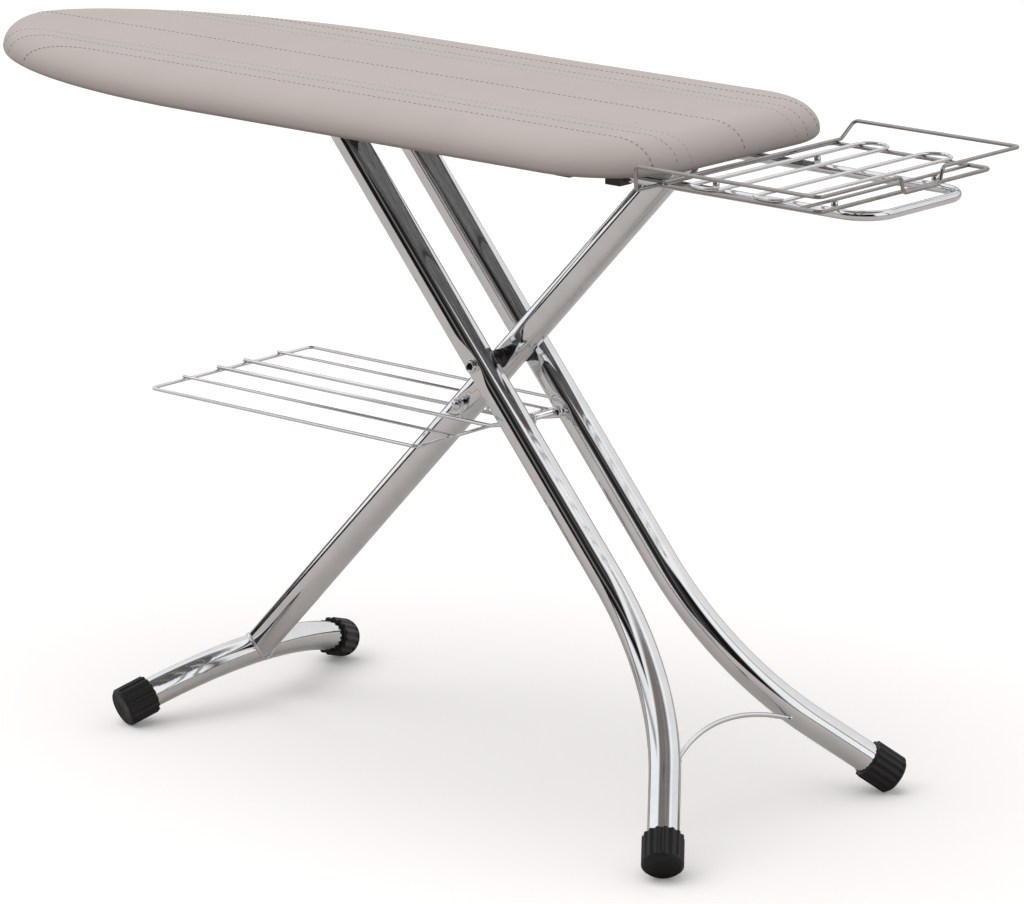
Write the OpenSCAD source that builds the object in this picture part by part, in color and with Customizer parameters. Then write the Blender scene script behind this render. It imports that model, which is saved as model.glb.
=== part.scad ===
// Folding ironing board with a wire shelf and an iron rest.
// +X points to the tail (iron rest end), +Z up; the origin is on the floor, below the middle.

/* [Board] */
// Length of the ironing surface, nose to tail
board_l = 1179; // [1080:1:1300]
// Width of the ironing surface
board_w = 446; // [400:1:500]
// Length of the tapered nose
nose_l = 505; // [480:5:600]
// Exponent of the nose curve, lower is blunter
nose_pow = 0.57; // [0.55:0.01:0.65]
// Radius of the two tail corners
tail_r = 120; // [80:5:140]
// Height of the covered edge
edge_h = 40; // [34:1:50]
// Thickness of the fabric cover
cover_t = 1.5; // [1:0.1:2.5]
// Width of the hem that the cover turns under the edge
hem_w = 26; // [20:1:34]
// Thickness of the felt pad
pad_t = 8; // [5:0.5:10]
// Sheet thickness of the panel, rim and rails
sheet_t = 1.2; // [0.8:0.1:1.6]

/* [Legs] */
// Height of the scissor pivot above the floor
pivot_h = 514.6; // [480:1:540]
// Distance from the scissor pivot to the hinge and to the slide bar
arm_l = 368; // [350:1:400]
// Angle of the single leg to the floor
front_angle = 46.9; // [44:0.1:49]
// Angle of the twin legs to the floor
rear_angle = 49.4; // [47:0.1:51]
// Outer radius of the leg tubes
tube_r = 19; // [16:0.5:20]
// Wall of the leg tubes
tube_t = 1.2; // [1:0.1:2]
// Distance of each twin leg's centre from the middle plane
rear_y = 51.5; // [50:0.5:60]
// Length of the twin legs from the pivot to the start of the bend
bend_start = 305; // [280:1:330]
// Radius of the bend in the twin legs
bend_r = 390; // [350:1:430]
// Angle of the bend in the twin legs
bend_angle = 40; // [34:1:42]
// Radius of the arched cross foot
arch_r = 400; // [360:1:440]
// Half of the arc angle of the cross foot
arch_half = 25; // [22:0.5:28]
// Radius of the rubber foot caps
cap_r = 25; // [23:0.5:28]
// Length of the rubber foot caps
cap_l = 42; // [36:1:50]
// Bevel round the end of the caps
cap_bevel = 3; // [1:0.5:4]

/* [Pins] */
// Radius of the pivot bolt
bolt_r = 4; // [3:0.5:5]
// Radius of the tail hinge pin
pin_r = 5; // [4:0.5:6]
// Radius of the slide bar
bar_r = 6; // [5:0.5:7]
// Radius of the shelf axle
axle_r = 2.5; // [2:0.25:3]
// Radial clearance of pins that turn
turn_gap = 0.08; // [0.03:0.01:0.1]
// Distance from the pivot to the shelf axle along the twin legs
axle_s = 86; // [80:1:100]
// Distance from the pivot to the stop pin along the single leg
stop_s = 90; // [80:1:100]

/* [Shelf] */
// Length of the shelf grid
shelf_l = 440; // [380:1:460]
// Distance from the shelf axle to the inner end of the grid
shelf_gap = 76; // [60:1:90]
// Half width of the shelf grid
shelf_y = 147; // [120:1:160]
// Drop of the shelf grid below its axle
shelf_drop = 23; // [20:1:28]
// Radius of the shelf's frame wire
frame_wire_r = 2.2; // [1.8:0.1:2.6]
// Radius of the shelf's thin wires
thin_wire_r = 1.9; // [1.5:0.1:2.2]
// Radius of the shelf's two thick wires
thick_wire_r = 2.5; // [2.2:0.1:3]
// Distance of the thick wires from the middle plane
thick_y = 24.5; // [24:0.5:27]
// Distance of the thin wires from the middle plane
thin_y = 87; // [80:1:110]

/* [Iron rest] */
// How far the support tube reaches past the tail
rest_reach = 257; // [240:1:300]
// Half distance between the support tube's arms
rest_arm_y = 95; // [80:1:110]
// Radius of the support tube
rest_tube_r = 6; // [5:0.5:7]
// Length of the rest's wire frame
rest_l = 228; // [200:1:240]
// Half width of the rest's wire frame
rest_y = 162; // [140:1:175]
// Radius of the rest's wires
rest_wire_r = 2.3; // [2:0.1:3]
// Half width of the raised rail
rail_y = 190; // [180:1:200]
// Height of the raised rail above the frame
rail_rise = 24; // [18:1:30]

/* [Latch] */
// Lift angle that frees the comb from the slide bar
lift_angle = 16; // [15:0.5:18]
// Leg angles at which the comb can hold the slide bar
stop_angles = [46.9, 42, 37, 32];
// Leg angle when folded
folded_angle = 7; // [7:0.5:10]
// Turn of the twin legs for each degree of the single leg, both against the board
rear_ratio = 1.021; // [1:0.001:1.04]

/* [Hidden] */
// Step and lap where a straight tube runs into a bend, so the faces do not coincide
weld_step = 0.1;
weld_lap = 0.5;
$fn = 64;

// Places along X: the whole length is centred on the origin
total_l = board_l + rest_reach;
nose_x = -total_l / 2;
tail_x = nose_x + board_l;
pivot_x = tail_x - arm_l * cos(front_angle) - 103;
hinge_x = pivot_x + arm_l * cos(front_angle);
bar_x = pivot_x - arm_l * cos(rear_angle);

// Heights: the board rides on the hinge and the slide bar
hinge_z = pivot_h + arm_l * sin(front_angle);
bar_z = pivot_h + arm_l * sin(rear_angle);
board_top = hinge_z + 61.7;
hem_z = board_top - edge_h;
pad_z = board_top - cover_t - pad_t;
flange_z = pad_z - sheet_t;
panel_z = flange_z - sheet_t;

// Insets of the layers from the outline
pad_inset = cover_t + 0.5;
rim_inset = cover_t + 1.5;
rim_w = 12;
panel_inset = rim_inset + 2;

// Tube ends and caps
end_past = 16;
cap_wall = 4;
cap_seat = cap_l - cap_wall;
front_axis_z = sin(arch_half) * sin(front_angle);
front_drop = (cap_l / 2 - cap_bevel) * front_axis_z + cap_r * sqrt(1 - front_axis_z * front_axis_z);
cap_sag = arch_r * (1 - cos(arch_half)) + cap_l / 2 * sin(arch_half);
arch_s = (pivot_h - front_drop) / sin(front_angle) - cap_sag;
rear_axis_z = cos(bend_angle) * sin(rear_angle);
rear_drop = (cap_l / 2 - cap_bevel) * rear_axis_z + cap_r * sqrt(1 - rear_axis_z * rear_axis_z);
rear_s = (pivot_h - rear_drop) / sin(rear_angle);
tail_straight = (rear_s - bend_start - bend_r * sin(bend_angle)) / cos(bend_angle) - cap_l / 2;

// Pivot, shelf axle and stop pin
gap_y = rear_y - tube_r;
outer_y = rear_y + tube_r;
axle_x = pivot_x + axle_s * cos(rear_angle);
axle_z = pivot_h - axle_s * sin(rear_angle);
stop_x = pivot_x - stop_s * cos(front_angle);
stop_z = pivot_h - stop_s * sin(front_angle);
stop_r = 4;

// Slide rails
rail_room = 9;
rail_in_y = 82;
rail_out_y = 98;
bush_r = 7;

// Latch: the rod is below the panel, beside the middle plane
latch_y = -22;
latch_z = bar_z + 18;
latch_rod_r = 4;
comb_reach = 44;
tooth_drop = 22;
notch_top = 11.2;
lever_x = bar_x + 53;
lever_l = 84;

// Iron rest
rest_x0 = tail_x + rest_wire_r + 0.7;
rest_x1 = rest_x0 + rest_l;
rest_z = hem_z - 5;
rest_tube_z = hem_z - 20;
rest_end_x = total_l / 2 - rest_tube_r;
rest_corner_r = 40;
rest_arm_x = tail_x - 260;
guide_x = [tail_x - 185, tail_x - 110];
pair_x = [62, 153];
pair_pitch = 41;
cross_rod_r = 2;
rail_x1 = rest_x1 + 20;

// Half width at the distance s from the nose, for the outline moved inwards by d
function half_w(s, d = 0) =
    (board_w / 2 - d) * pow(1 - pow(1 - (s - d) / (nose_l - d), 2), nose_pow);
nose_steps = 22;
tail_steps = 8;
function side_pts(d) = concat(
    [for (i = [1:nose_steps]) let(s = d + (nose_l - d) * (1 - cos(90 * i / nose_steps)))
        [s, half_w(s, d)]],
    [for (i = [0:tail_steps]) let(a = 90 * i / tail_steps, r = tail_r - d)
        [board_l - tail_r + r * sin(a), board_w / 2 - tail_r + r * cos(a)]]);
function outline(d) = let(pts = side_pts(d), n = len(pts)) concat([[d, 0]], pts,
    [for (i = [1:n]) [pts[n - i][0], -pts[n - i][1]]]);

// Angle of the twin legs when the single leg stands at the angle a, and the slide bar's place
function rear_at(a) = rear_angle - rear_ratio * (front_angle - a);
function bar_at(a) = hinge_x - arm_l * (cos(a) + cos(rear_at(a)));

module slab(inset, z0, z1) {
    translate([nose_x, 0, z0]) linear_extrude(z1 - z0) polygon(outline(inset));
}

// A rod along Y from y0 to y1
module rod_y(r, y0, y1) {
    translate([0, y0, 0]) rotate([-90, 0, 0]) cylinder(r = r, h = y1 - y0);
}

// A rod along X from x0 to x1
module rod_x(r, x0, x1) {
    translate([x0, 0, 0]) rotate([0, 90, 0]) cylinder(r = r, h = x1 - x0);
}

// A wire of radius r with ball joints, along a list of points
module wire(pts, r) {
    for (i = [0:len(pts) - 2]) {
        step = pts[i + 1] - pts[i];
        tilt = acos(step[2] / norm(step));
        turn = atan2(step[1], step[0]);
        translate(pts[i]) rotate([0, tilt, turn]) cylinder(r = r, h = norm(step));
    }
    if (len(pts) > 2) for (i = [1:len(pts) - 2]) translate(pts[i]) sphere(r = r);
}

// A wire through pts with real bends of the given radius; straight runs lap into the bends
function unit(v) = v / norm(v);
function turn_at(pts, i) =
    acos(unit(pts[i] - pts[i - 1]) * unit(pts[i + 1] - pts[i]));
function bend_cut(pts, i, bend) = i == 0 || i == len(pts) - 1 ? 0 : bend * tan(turn_at(pts, i) / 2);
module bent_wire(pts, r, bend) {
    lap = weld_lap / 2;
    for (i = [0:len(pts) - 2]) {
        along = unit(pts[i + 1] - pts[i]);
        from = bend_cut(pts, i, bend) - (i == 0 ? 0 : lap);
        to = bend_cut(pts, i + 1, bend) - (i == len(pts) - 2 ? 0 : lap);
        translate(pts[i] + from * along) rotate([0, acos(along[2]), atan2(along[1], along[0])])
            cylinder(r = r - weld_step / 2, h = norm(pts[i + 1] - pts[i]) - from - to);
    }
    for (i = [1:len(pts) - 2]) {
        along = unit(pts[i] - pts[i - 1]);
        next = unit(pts[i + 1] - pts[i]);
        out = -unit(next - (next * along) * along);
        up = cross(out, along);
        mid = pts[i] - bend_cut(pts, i, bend) * along - bend * out;
        multmatrix([[out[0], along[0], up[0], mid[0]], [out[1], along[1], up[1], mid[1]],
            [out[2], along[2], up[2], mid[2]]])
            rotate_extrude(angle = turn_at(pts, i)) translate([bend, 0]) circle(r = r);
    }
}

// Local frames: X runs down the leg from the pivot, Y is the board's Y
module on_front_leg() {
    translate([pivot_x, 0, pivot_h]) rotate([0, 180 - front_angle, 0]) children();
}
module on_rear_leg() {
    translate([pivot_x, 0, pivot_h]) rotate([0, rear_angle, 0]) children();
}
module side(far) {
    if (far) children();
    else mirror([0, 1, 0]) children();
}

// Rubber cap: the mouth is at x = 0, the axis is +X
module foot_cap() {
    rotate([0, 90, 0]) rotate_extrude() polygon([
        [0, cap_seat], [tube_r, cap_seat], [tube_r, 0], [cap_r - 1, 0], [cap_r, 1],
        [cap_r, cap_l - cap_bevel], [cap_r - cap_bevel, cap_l], [0, cap_l]]);
}

// Board ------------------------------------------------------------

module cover() {
    color("#c4bbb6") difference() {
        slab(0, hem_z, board_top);
        slab(cover_t, hem_z + cover_t, board_top - cover_t);
        slab(hem_w, hem_z - 1, hem_z + cover_t + 1);
    }
}

module felt_pad() {
    color("#e8e4da") slab(pad_inset, pad_z, pad_z + pad_t);
}

module board_panel() {
    vent_r = 9;
    vent_pitch = 62;
    color("#9a9c9e") difference() {
        slab(panel_inset, panel_z, panel_z + sheet_t);
        for (i = [2:17], j = [-3:3]) {
            s = i * vent_pitch + (j % 2 == 0 ? 0 : vent_pitch / 2);
            y = j * vent_pitch * 0.87;
            if (s > nose_l || abs(y) < half_w(s) - 50)
                translate([nose_x + s, y, panel_z - 1]) cylinder(r = vent_r, h = sheet_t + 2);
        }
    }
}

module board_rim() {
    lip_z = hem_z + cover_t + 0.5;
    color("#8c8f92") difference() {
        slab(rim_inset, lip_z, pad_z);
        slab(rim_inset + sheet_t, lip_z + sheet_t, flange_z);
        slab(rim_inset + rim_w, lip_z - 1, pad_z + 1);
    }
}

// C channel that opens towards the middle, with a web up to the panel
module slide_rail() {
    x0 = bar_at(folded_angle) - 35;
    low = bar_z - rail_room;
    high = bar_z + rail_room;
    color("#a4a7aa") translate([x0, 0, 0]) rotate([90, 0, 90])
        linear_extrude(bar_x + 28 - x0) polygon([
            [rail_in_y, low - sheet_t], [rail_out_y, low - sheet_t], [rail_out_y, panel_z],
            [rail_in_y, panel_z], [rail_in_y, panel_z - sheet_t],
            [rail_out_y - sheet_t, panel_z - sheet_t], [rail_out_y - sheet_t, high + sheet_t],
            [rail_in_y, high + sheet_t], [rail_in_y, high], [rail_out_y - sheet_t, high],
            [rail_out_y - sheet_t, low], [rail_in_y, low]]);
}
module slide_rail_near() side(false) slide_rail();
module slide_rail_far() side(true) slide_rail();

// Hat section across the board, under the panel
module stiffener(x, half) {
    h = 10;
    color("#a4a7aa") translate([x, half, panel_z]) rotate([90, 0, 0]) linear_extrude(2 * half)
        polygon([[-24, 0], [-24, -sheet_t], [-12, -sheet_t], [-12, -h], [12, -h], [12, -sheet_t],
            [24, -sheet_t], [24, 0], [12 - sheet_t, 0], [12 - sheet_t, sheet_t - h],
            [sheet_t - 12, sheet_t - h], [sheet_t - 12, 0]]);
}
module stiffener_front() stiffener(nose_x + 230, 110);
module stiffener_middle() stiffener(pivot_x + 60, 180);

module hinge_bracket() {
    in_y = 23;
    wall = 3;
    half = 26;
    color("#8c8f92") difference() {
        union() {
            translate([hinge_x - half, -in_y - wall, hinge_z])
                cube([2 * half, 2 * (in_y + wall), panel_z - hinge_z]);
            translate([hinge_x, 0, hinge_z]) rod_y(16, -in_y - wall, in_y + wall);
            translate([hinge_x - half, -50, panel_z - wall]) cube([2 * half, 100, wall]);
        }
        translate([hinge_x - half - 1, -in_y, hinge_z - 30])
            cube([2 * half + 2, 2 * in_y, panel_z - wall - hinge_z + 30]);
        translate([hinge_x, 0, hinge_z]) rod_y(pin_r, -60, 60);
    }
}

module hinge_pin() {
    color("#c9ccd0") translate([hinge_x, 0, hinge_z]) {
        rod_y(pin_r, -27, 27);
        rod_y(pin_r + 3, 26, 30);
        rod_y(pin_r + 3, -30, -26);
    }
}

// Two ears that carry the latch rod
module latch_lugs() {
    wall = 3;
    color("#8c8f92") for (x = [bar_at(folded_angle) - 28, bar_x + 38]) difference() {
        translate([x, latch_y - 8, latch_z - 8]) cube([wall, 16, panel_z - latch_z + 8]);
        translate([0, latch_y, latch_z]) rod_x(latch_rod_r + turn_gap, x - 1, x + wall + 1);
    }
}

// Four blocks that the support tube slides through
module rest_guides() {
    w = 22;
    color("#2b2b2d") for (x = guide_x, s = [-1, 1]) difference() {
        translate([x - w / 2, s * rest_arm_y - w / 2, rest_tube_z - 10])
            cube([w, w, panel_z - rest_tube_z + 10]);
        translate([0, s * rest_arm_y, rest_tube_z])
            rod_x(rest_tube_r + turn_gap, x - w, x + w);
    }
}

// Rivets that hold the brackets and rails to the panel
module panel_rivets() {
    shank_r = 2;
    head_r = 4;
    head_h = 1.5;
    places = [for (x = [hinge_x - 16, hinge_x + 16], y = [-40, 40]) [x, y, 3]];
    rails = [for (x = [bar_at(folded_angle), bar_x], y = [-88, 88]) [x, y, sheet_t]];
    color("#d0d2d4") for (p = concat(places, rails)) {
        translate([p[0], p[1], panel_z - p[2] - head_h]) cylinder(r = head_r, h = head_h);
    }
}

// Latch: drawn engaged, then lifted about the rod ---------------------

module lifted() {
    translate([0, latch_y, latch_z]) rotate([lift_angle, 0, 0]) children();
}

module latch_comb() {
    x0 = bar_at(folded_angle) - 22;
    x1 = bar_x + 30;
    web = 2;
    color("#9a9c9e") lifted() difference() {
        union() {
            translate([x0, 0, -web / 2]) cube([x1 - x0, comb_reach, web]);
            translate([x0, comb_reach - web, -tooth_drop]) cube([x1 - x0, web, tooth_drop]);
            rod_x(latch_rod_r + 2, x0, x1);
        }
        for (a = concat(stop_angles, [folded_angle]))
            translate([bar_at(a) - bar_r - 0.8, 8, -tooth_drop - 1])
                cube([2 * bar_r + 1.6, comb_reach, tooth_drop + 1 - notch_top]);
        rod_x(latch_rod_r, x0 - 1, x1 + 1);
    }
}

module latch_rod() {
    color("#c9ccd0") lifted() rod_x(latch_rod_r, bar_at(folded_angle) - 36, lever_x + 12);
}

module release_lever() {
    color("#9a9c9e") lifted() difference() {
        union() {
            translate([lever_x, -lever_l, -1.5]) cube([16, lever_l, 3]);
            rod_x(latch_rod_r + 3, lever_x, lever_x + 16 - 4);
        }
        rod_x(latch_rod_r, lever_x - 1, lever_x + 20);
    }
}

module lever_grip() {
    wall = 3;
    hold = 46;
    color("#2b2b2d") lifted() difference() {
        translate([lever_x - wall, -lever_l - wall, -1.5 - wall])
            cube([16 + 2 * wall, hold, 3 + 2 * wall]);
        translate([lever_x, -lever_l, -1.5]) cube([16, hold, 3]);
    }
}

// Return spring: a coil round the rod, swept with square rings
module latch_spring() {
    turns = 5;
    sides = 6;
    coil_r = 6.2;
    spring_r = 0.7;
    pitch = 2;
    rings = turns * 12;
    x0 = bar_x + 31;
    ring_at = function (k) let(a = 360 * k / 12) [for (m = [0:sides - 1])
        let(b = 360 * m / sides, r = coil_r + spring_r * cos(b))
        [x0 + spring_r + pitch * k / 12 / 2 + spring_r * sin(b), r * cos(a), r * sin(a)]];
    pts = [for (k = [0:rings]) each ring_at(k)];
    walls = [for (k = [0:rings - 1], m = [0:sides - 1]) let(n = (m + 1) % sides)
        [k * sides + m, (k + 1) * sides + m, (k + 1) * sides + n, k * sides + n]];
    ends = [[for (m = [0:sides - 1]) m], [for (m = [0:sides - 1]) rings * sides + sides - 1 - m]];
    color("#c9ccd0") lifted() polyhedron(pts, concat(walls, ends));
}

// Single leg ---------------------------------------------------------

module single_leg() {
    foot_end = arch_s - tube_r * 0.35;
    color("#cfd2d6") on_front_leg() difference() {
        rod_x(tube_r, -arm_l - end_past, foot_end);
        rod_x(tube_r - tube_t, -arm_l - end_past - 1, foot_end + 1);
        translate([-arm_l, 0, 0]) rod_y(pin_r + 2, -30, 30);
        rod_y(bolt_r + 2.5, -30, 30);
        translate([stop_s, 0, 0]) rod_y(stop_r, -30, 30);
        translate([arch_s + arch_r, 0, 0]) rotate([0, 0, 180 - arch_half])
            rotate_extrude(angle = 2 * arch_half) translate([arch_r, 0]) circle(r = tube_r);
    }
}

module arch(r, extra) {
    translate([arch_s + arch_r, 0, 0]) rotate([0, 0, 180 - arch_half])
        rotate_extrude(angle = 2 * arch_half) translate([arch_r, 0]) circle(r = r);
    for (far = [false, true]) side(far) at_arch_end() rod_x(r, 0, cap_seat + extra);
}
module at_arch_end() {
    translate([arch_s + arch_r * (1 - cos(arch_half)), arch_r * sin(arch_half), 0])
        rotate([0, 0, 90 - arch_half]) children();
}

module cross_foot() {
    color("#cfd2d6") on_front_leg() difference() {
        arch(tube_r, 0);
        arch(tube_r - tube_t, 1);
    }
}

module foot_cap_front_near() color("#1c1c1e") on_front_leg() side(false) at_arch_end() foot_cap();
module foot_cap_front_far() color("#1c1c1e") on_front_leg() side(true) at_arch_end() foot_cap();

module hinge_bush() {
    color("#2b2b2d") translate([hinge_x, 0, hinge_z]) difference() {
        rod_y(pin_r + 2, -22.5, 22.5);
        rod_y(pin_r + turn_gap, -24, 24);
    }
}

module pivot_sleeve() {
    color("#8c8f92") translate([pivot_x, 0, pivot_h]) difference() {
        rod_y(bolt_r + 2.5, -tube_r - 0.2, tube_r + 0.2);
        rod_y(bolt_r + turn_gap, -tube_r - 1, tube_r + 1);
    }
}

module shelf_stop_pin() {
    reach = thick_y + thick_wire_r + 0.4;
    color("#d0d2d4") translate([stop_x, 0, stop_z]) {
        rod_y(stop_r, -reach, reach);
        for (far = [false, true]) side(far) translate([0, reach, 0]) rotate([-90, 0, 0])
            rotate_extrude() polygon([[0, 0], [stop_r + 2.5, 0], [stop_r + 2.2, 1.4],
                [stop_r + 0.8, 2.6], [stop_r - 1.5, 3.4], [0, 3.7]]);
    }
}

// Twin legs ----------------------------------------------------------

module bent_leg(r, extra) {
    rod_x(r - weld_step, -arm_l - end_past - extra, bend_start + weld_lap);
    translate([bend_start, bend_r, 0]) rotate([0, 0, -90])
        rotate_extrude(angle = bend_angle) translate([bend_r, 0]) circle(r = r);
    at_bend_end() rod_x(r - weld_step, -weld_lap, tail_straight + cap_seat + extra);
}
module at_bend_end() {
    translate([bend_start + bend_r * sin(bend_angle), bend_r * (1 - cos(bend_angle)), 0])
        rotate([0, 0, bend_angle]) children();
}

module twin_leg(far) {
    color("#cfd2d6") on_rear_leg() side(far) translate([0, rear_y, 0]) difference() {
        bent_leg(tube_r, 0);
        bent_leg(tube_r - tube_t, 1);
        rod_y(bolt_r, -30, 30);
        translate([-arm_l, 0, 0]) rod_y(bar_r, -30, 30);
        translate([axle_s, 0, 0]) rod_y(axle_r, -30, 0);
    }
}
module twin_leg_near() twin_leg(false);
module twin_leg_far() twin_leg(true);

module rear_cap(far) {
    color("#1c1c1e") on_rear_leg() side(far) translate([0, rear_y, 0]) at_bend_end()
        translate([tail_straight, 0, 0]) foot_cap();
}
module foot_cap_rear_near() rear_cap(false);
module foot_cap_rear_far() rear_cap(true);

// Arched rod between the feet of the twin legs
module brace_rod() {
    brace_s = 541;
    rise = 26;
    rod_r = 3;
    turned = asin((brace_s - bend_start) / bend_r);
    half = rear_y + bend_r * (1 - cos(turned)) - tube_r / cos(turned) + 2;
    arc_r = (half * half + rise * rise) / (2 * rise);
    open = asin(half / arc_r);
    color("#cfd2d6") on_rear_leg() difference() {
        translate([brace_s - rise + arc_r, 0, 0])
            rotate([0, 0, 180 - open]) rotate_extrude(angle = 2 * open)
                translate([arc_r, 0]) circle(r = rod_r);
        for (far = [false, true]) side(far) translate([0, rear_y, 0]) bent_leg(tube_r, 0);
    }
}

module slide_bar() {
    color("#c9ccd0") translate([bar_x, 0, bar_z]) rod_y(bar_r, -rail_out_y + 3, rail_out_y - 3);
}
module slide_bush(far) {
    color("#e8e8e8") translate([bar_x, 0, bar_z]) side(far) difference() {
        rod_y(bush_r, rail_in_y - 4, rail_out_y - 2);
        rod_y(bar_r, rail_in_y - 6, rail_out_y);
    }
}
module slide_bush_near() slide_bush(false);
module slide_bush_far() slide_bush(true);

module pivot_bolt() {
    color("#3a3a3c") translate([pivot_x, 0, pivot_h]) {
        rod_y(bolt_r, -outer_y - 8, outer_y + 1);
        translate([0, outer_y, 0]) rotate([-90, 0, 0]) rotate_extrude() polygon([[0, 0],
            [bolt_r + 4, 0], [bolt_r + 3.6, 2.2], [bolt_r + 1.5, 4], [0, 4.8]]);
    }
}
module pivot_nut() {
    color("#d0d2d4") translate([pivot_x, -outer_y, pivot_h]) difference() {
        union() {
            rod_y(bolt_r + 4.5, -1.5, 0);
            rotate([90, 0, 0]) cylinder(r = bolt_r + 3.4, h = 6.5, $fn = 6);
        }
        rod_y(bolt_r, -8, 1);
    }
}
module pivot_bush(far) {
    color("#1c1c1e") translate([pivot_x, 0, pivot_h]) side(far) difference() {
        rod_y(12, tube_r + 0.5, gap_y);
        rod_y(bolt_r, tube_r, gap_y + 1);
    }
}
module pivot_bush_near() pivot_bush(false);
module pivot_bush_far() pivot_bush(true);

module shelf_axle() {
    color("#cfd2d6") translate([axle_x, 0, axle_z]) rod_y(axle_r, -gap_y - 4, gap_y + 4);
}

// Shelf: heights are below the axle ---------------------------------

shelf_z = axle_z - shelf_drop;
shelf_x1 = axle_x - shelf_gap;
shelf_x0 = shelf_x1 - shelf_l;

// A closed wire loop with round corners in the plane z
module loop(x0, x1, y, z, r, corner) {
    for (s = [-1, 1]) {
        translate([0, s * y, z]) rod_x(r, x0 + corner, x1 - corner);
        translate([s > 0 ? x1 : x0, 0, z]) rod_y(r, -y + corner, y - corner);
    }
    for (c = [[x1, y, 0], [x0, y, 90], [x0, -y, 180], [x1, -y, 270]])
        translate([c[0] + (c[0] == x1 ? -corner : corner), c[1] + (c[1] > 0 ? -corner : corner), z])
            rotate([0, 0, c[2]]) rotate_extrude(angle = 90) translate([corner, 0]) circle(r = r);
}

module shelf_frame() {
    color("#cfd2d6") loop(shelf_x0, shelf_x1, shelf_y, shelf_z, frame_wire_r, 10);
}

// Thin wires over the frame, and thick wires that end in eyes on the axle
module shelf_wires() {
    stub = 10;
    eye_r = axle_r + 2 * thick_wire_r - 0.6;
    color("#cfd2d6") {
        for (s = [-1, 1]) translate([0, s * thin_y, shelf_z + frame_wire_r + thin_wire_r - 0.2])
            rod_x(thin_wire_r, shelf_x0 - 2, shelf_x1 + stub);
        for (s = [-1, 1]) {
            z = shelf_z + frame_wire_r + thick_wire_r - 0.2;
            difference() {
                union() {
                    wire([[shelf_x0 - 2, s * thick_y, z], [shelf_x1 + stub, s * thick_y, z],
                        [axle_x - 2, s * thick_y, axle_z - 4]], thick_wire_r);
                    translate([axle_x, s * thick_y, axle_z])
                        rod_y(eye_r, -thick_wire_r, thick_wire_r);
                }
                translate([axle_x, 0, axle_z]) rod_y(axle_r + turn_gap, -gap_y, gap_y);
            }
        }
    }
}

// Two hooks on the thick wires that rest on the stop pin, open to the nose
module shelf_hooks() {
    r = 2;
    bend = stop_r + 0.5 + r;
    z = shelf_z + frame_wire_r + 2 * thick_wire_r - 0.22;
    color("#cfd2d6") for (s = [-1, 1]) translate([stop_x, s * thick_y, 0])
        wire([[bend, 0, z], [bend, 0, stop_z + bend / 2], [bend / 2, 0, stop_z + bend],
            [-6, 0, stop_z + bend]], r);
}

// Iron rest ----------------------------------------------------------

module rest_support() {
    c = rest_corner_r;
    color("#b9bcc0") translate([0, 0, rest_tube_z]) {
        for (s = [-1, 1]) translate([0, s * rest_arm_y, 0])
            rod_x(rest_tube_r, rest_arm_x, rest_end_x - c);
        translate([rest_end_x, 0, 0]) rod_y(rest_tube_r, -rest_arm_y + c, rest_arm_y - c);
        for (s = [0, 1]) translate([rest_end_x - c, (s == 0 ? 1 : -1) * (rest_arm_y - c), 0])
            rotate([0, 0, -90 * s]) rotate_extrude(angle = 90)
                translate([c, 0]) circle(r = rest_tube_r);
        for (x = [rest_x0 + 30, rest_x1 - 30], s = [-1, 1])
            translate([x, s * rest_arm_y, rest_tube_r - 0.5])
                cylinder(r = 4, h = rest_z - cross_rod_r - rest_tube_z - rest_tube_r + 0.52);
    }
}

module rest_frame() {
    color("#cfd2d6") {
        loop(rest_x0, rest_x1, rest_y, rest_z, rest_wire_r + 0.2, 9);
        for (x = [rest_x0 + 30, rest_x1 - 30]) translate([x, 0, rest_z]) rod_y(cross_rod_r, -rest_y, rest_y);
    }
}

// Two hairpins of wire laid across the frame
module rest_wires() {
    z = rest_z + 2 * rest_wire_r + 0.1;
    past = 12;
    half = pair_pitch / 2;
    color("#cfd2d6") for (x = pair_x) translate([rest_x0 + x, 0, z]) {
        for (s = [-1, 1]) translate([s * half, 0, 0]) rod_y(rest_wire_r, -rest_y - 2, rest_y + past - half);
        translate([0, rest_y + past - half, 0]) rotate_extrude(angle = 180)
            translate([half, 0]) circle(r = rest_wire_r);
    }
}

// One long wire: across under the rest, round as a raised rail with a dip, and under the tail
module rest_rail() {
    low = rest_z + 2 * rest_wire_r + 0.1;
    high = rest_z + rail_rise;
    x0 = rest_x0 + 9;
    under = rest_z - 2 * rest_wire_r - 0.6;
    color("#cfd2d6") bent_wire([[x0, -rest_y - 2, low], [x0, rest_y + 6, low], [x0 + 3, rail_y, high],
        [rail_x1, rail_y, high], [rail_x1, 44, high], [rail_x1, 28, low], [rail_x1, -28, low],
        [rail_x1, -44, high], [rail_x1, -rail_y, high], [tail_x - 8, -rail_y, high],
        [tail_x - 12, -rail_y + 6, under], [tail_x - 12, rest_arm_y + 20, under]], rest_wire_r, 6);
}

cover();
felt_pad();
board_panel();
board_rim();
slide_rail_near();
slide_rail_far();
stiffener_front();
stiffener_middle();
hinge_bracket();
hinge_pin();
latch_lugs();
rest_guides();
panel_rivets();
latch_comb();
latch_rod();
release_lever();
lever_grip();
latch_spring();
single_leg();
cross_foot();
foot_cap_front_near();
foot_cap_front_far();
hinge_bush();
pivot_sleeve();
shelf_stop_pin();
twin_leg_near();
twin_leg_far();
brace_rod();
slide_bar();
slide_bush_near();
slide_bush_far();
foot_cap_rear_near();
foot_cap_rear_far();
pivot_bolt();
pivot_nut();
pivot_bush_near();
pivot_bush_far();
shelf_axle();
shelf_frame();
shelf_wires();
shelf_hooks();
rest_support();
rest_frame();
rest_wires();
rest_rail();
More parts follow.
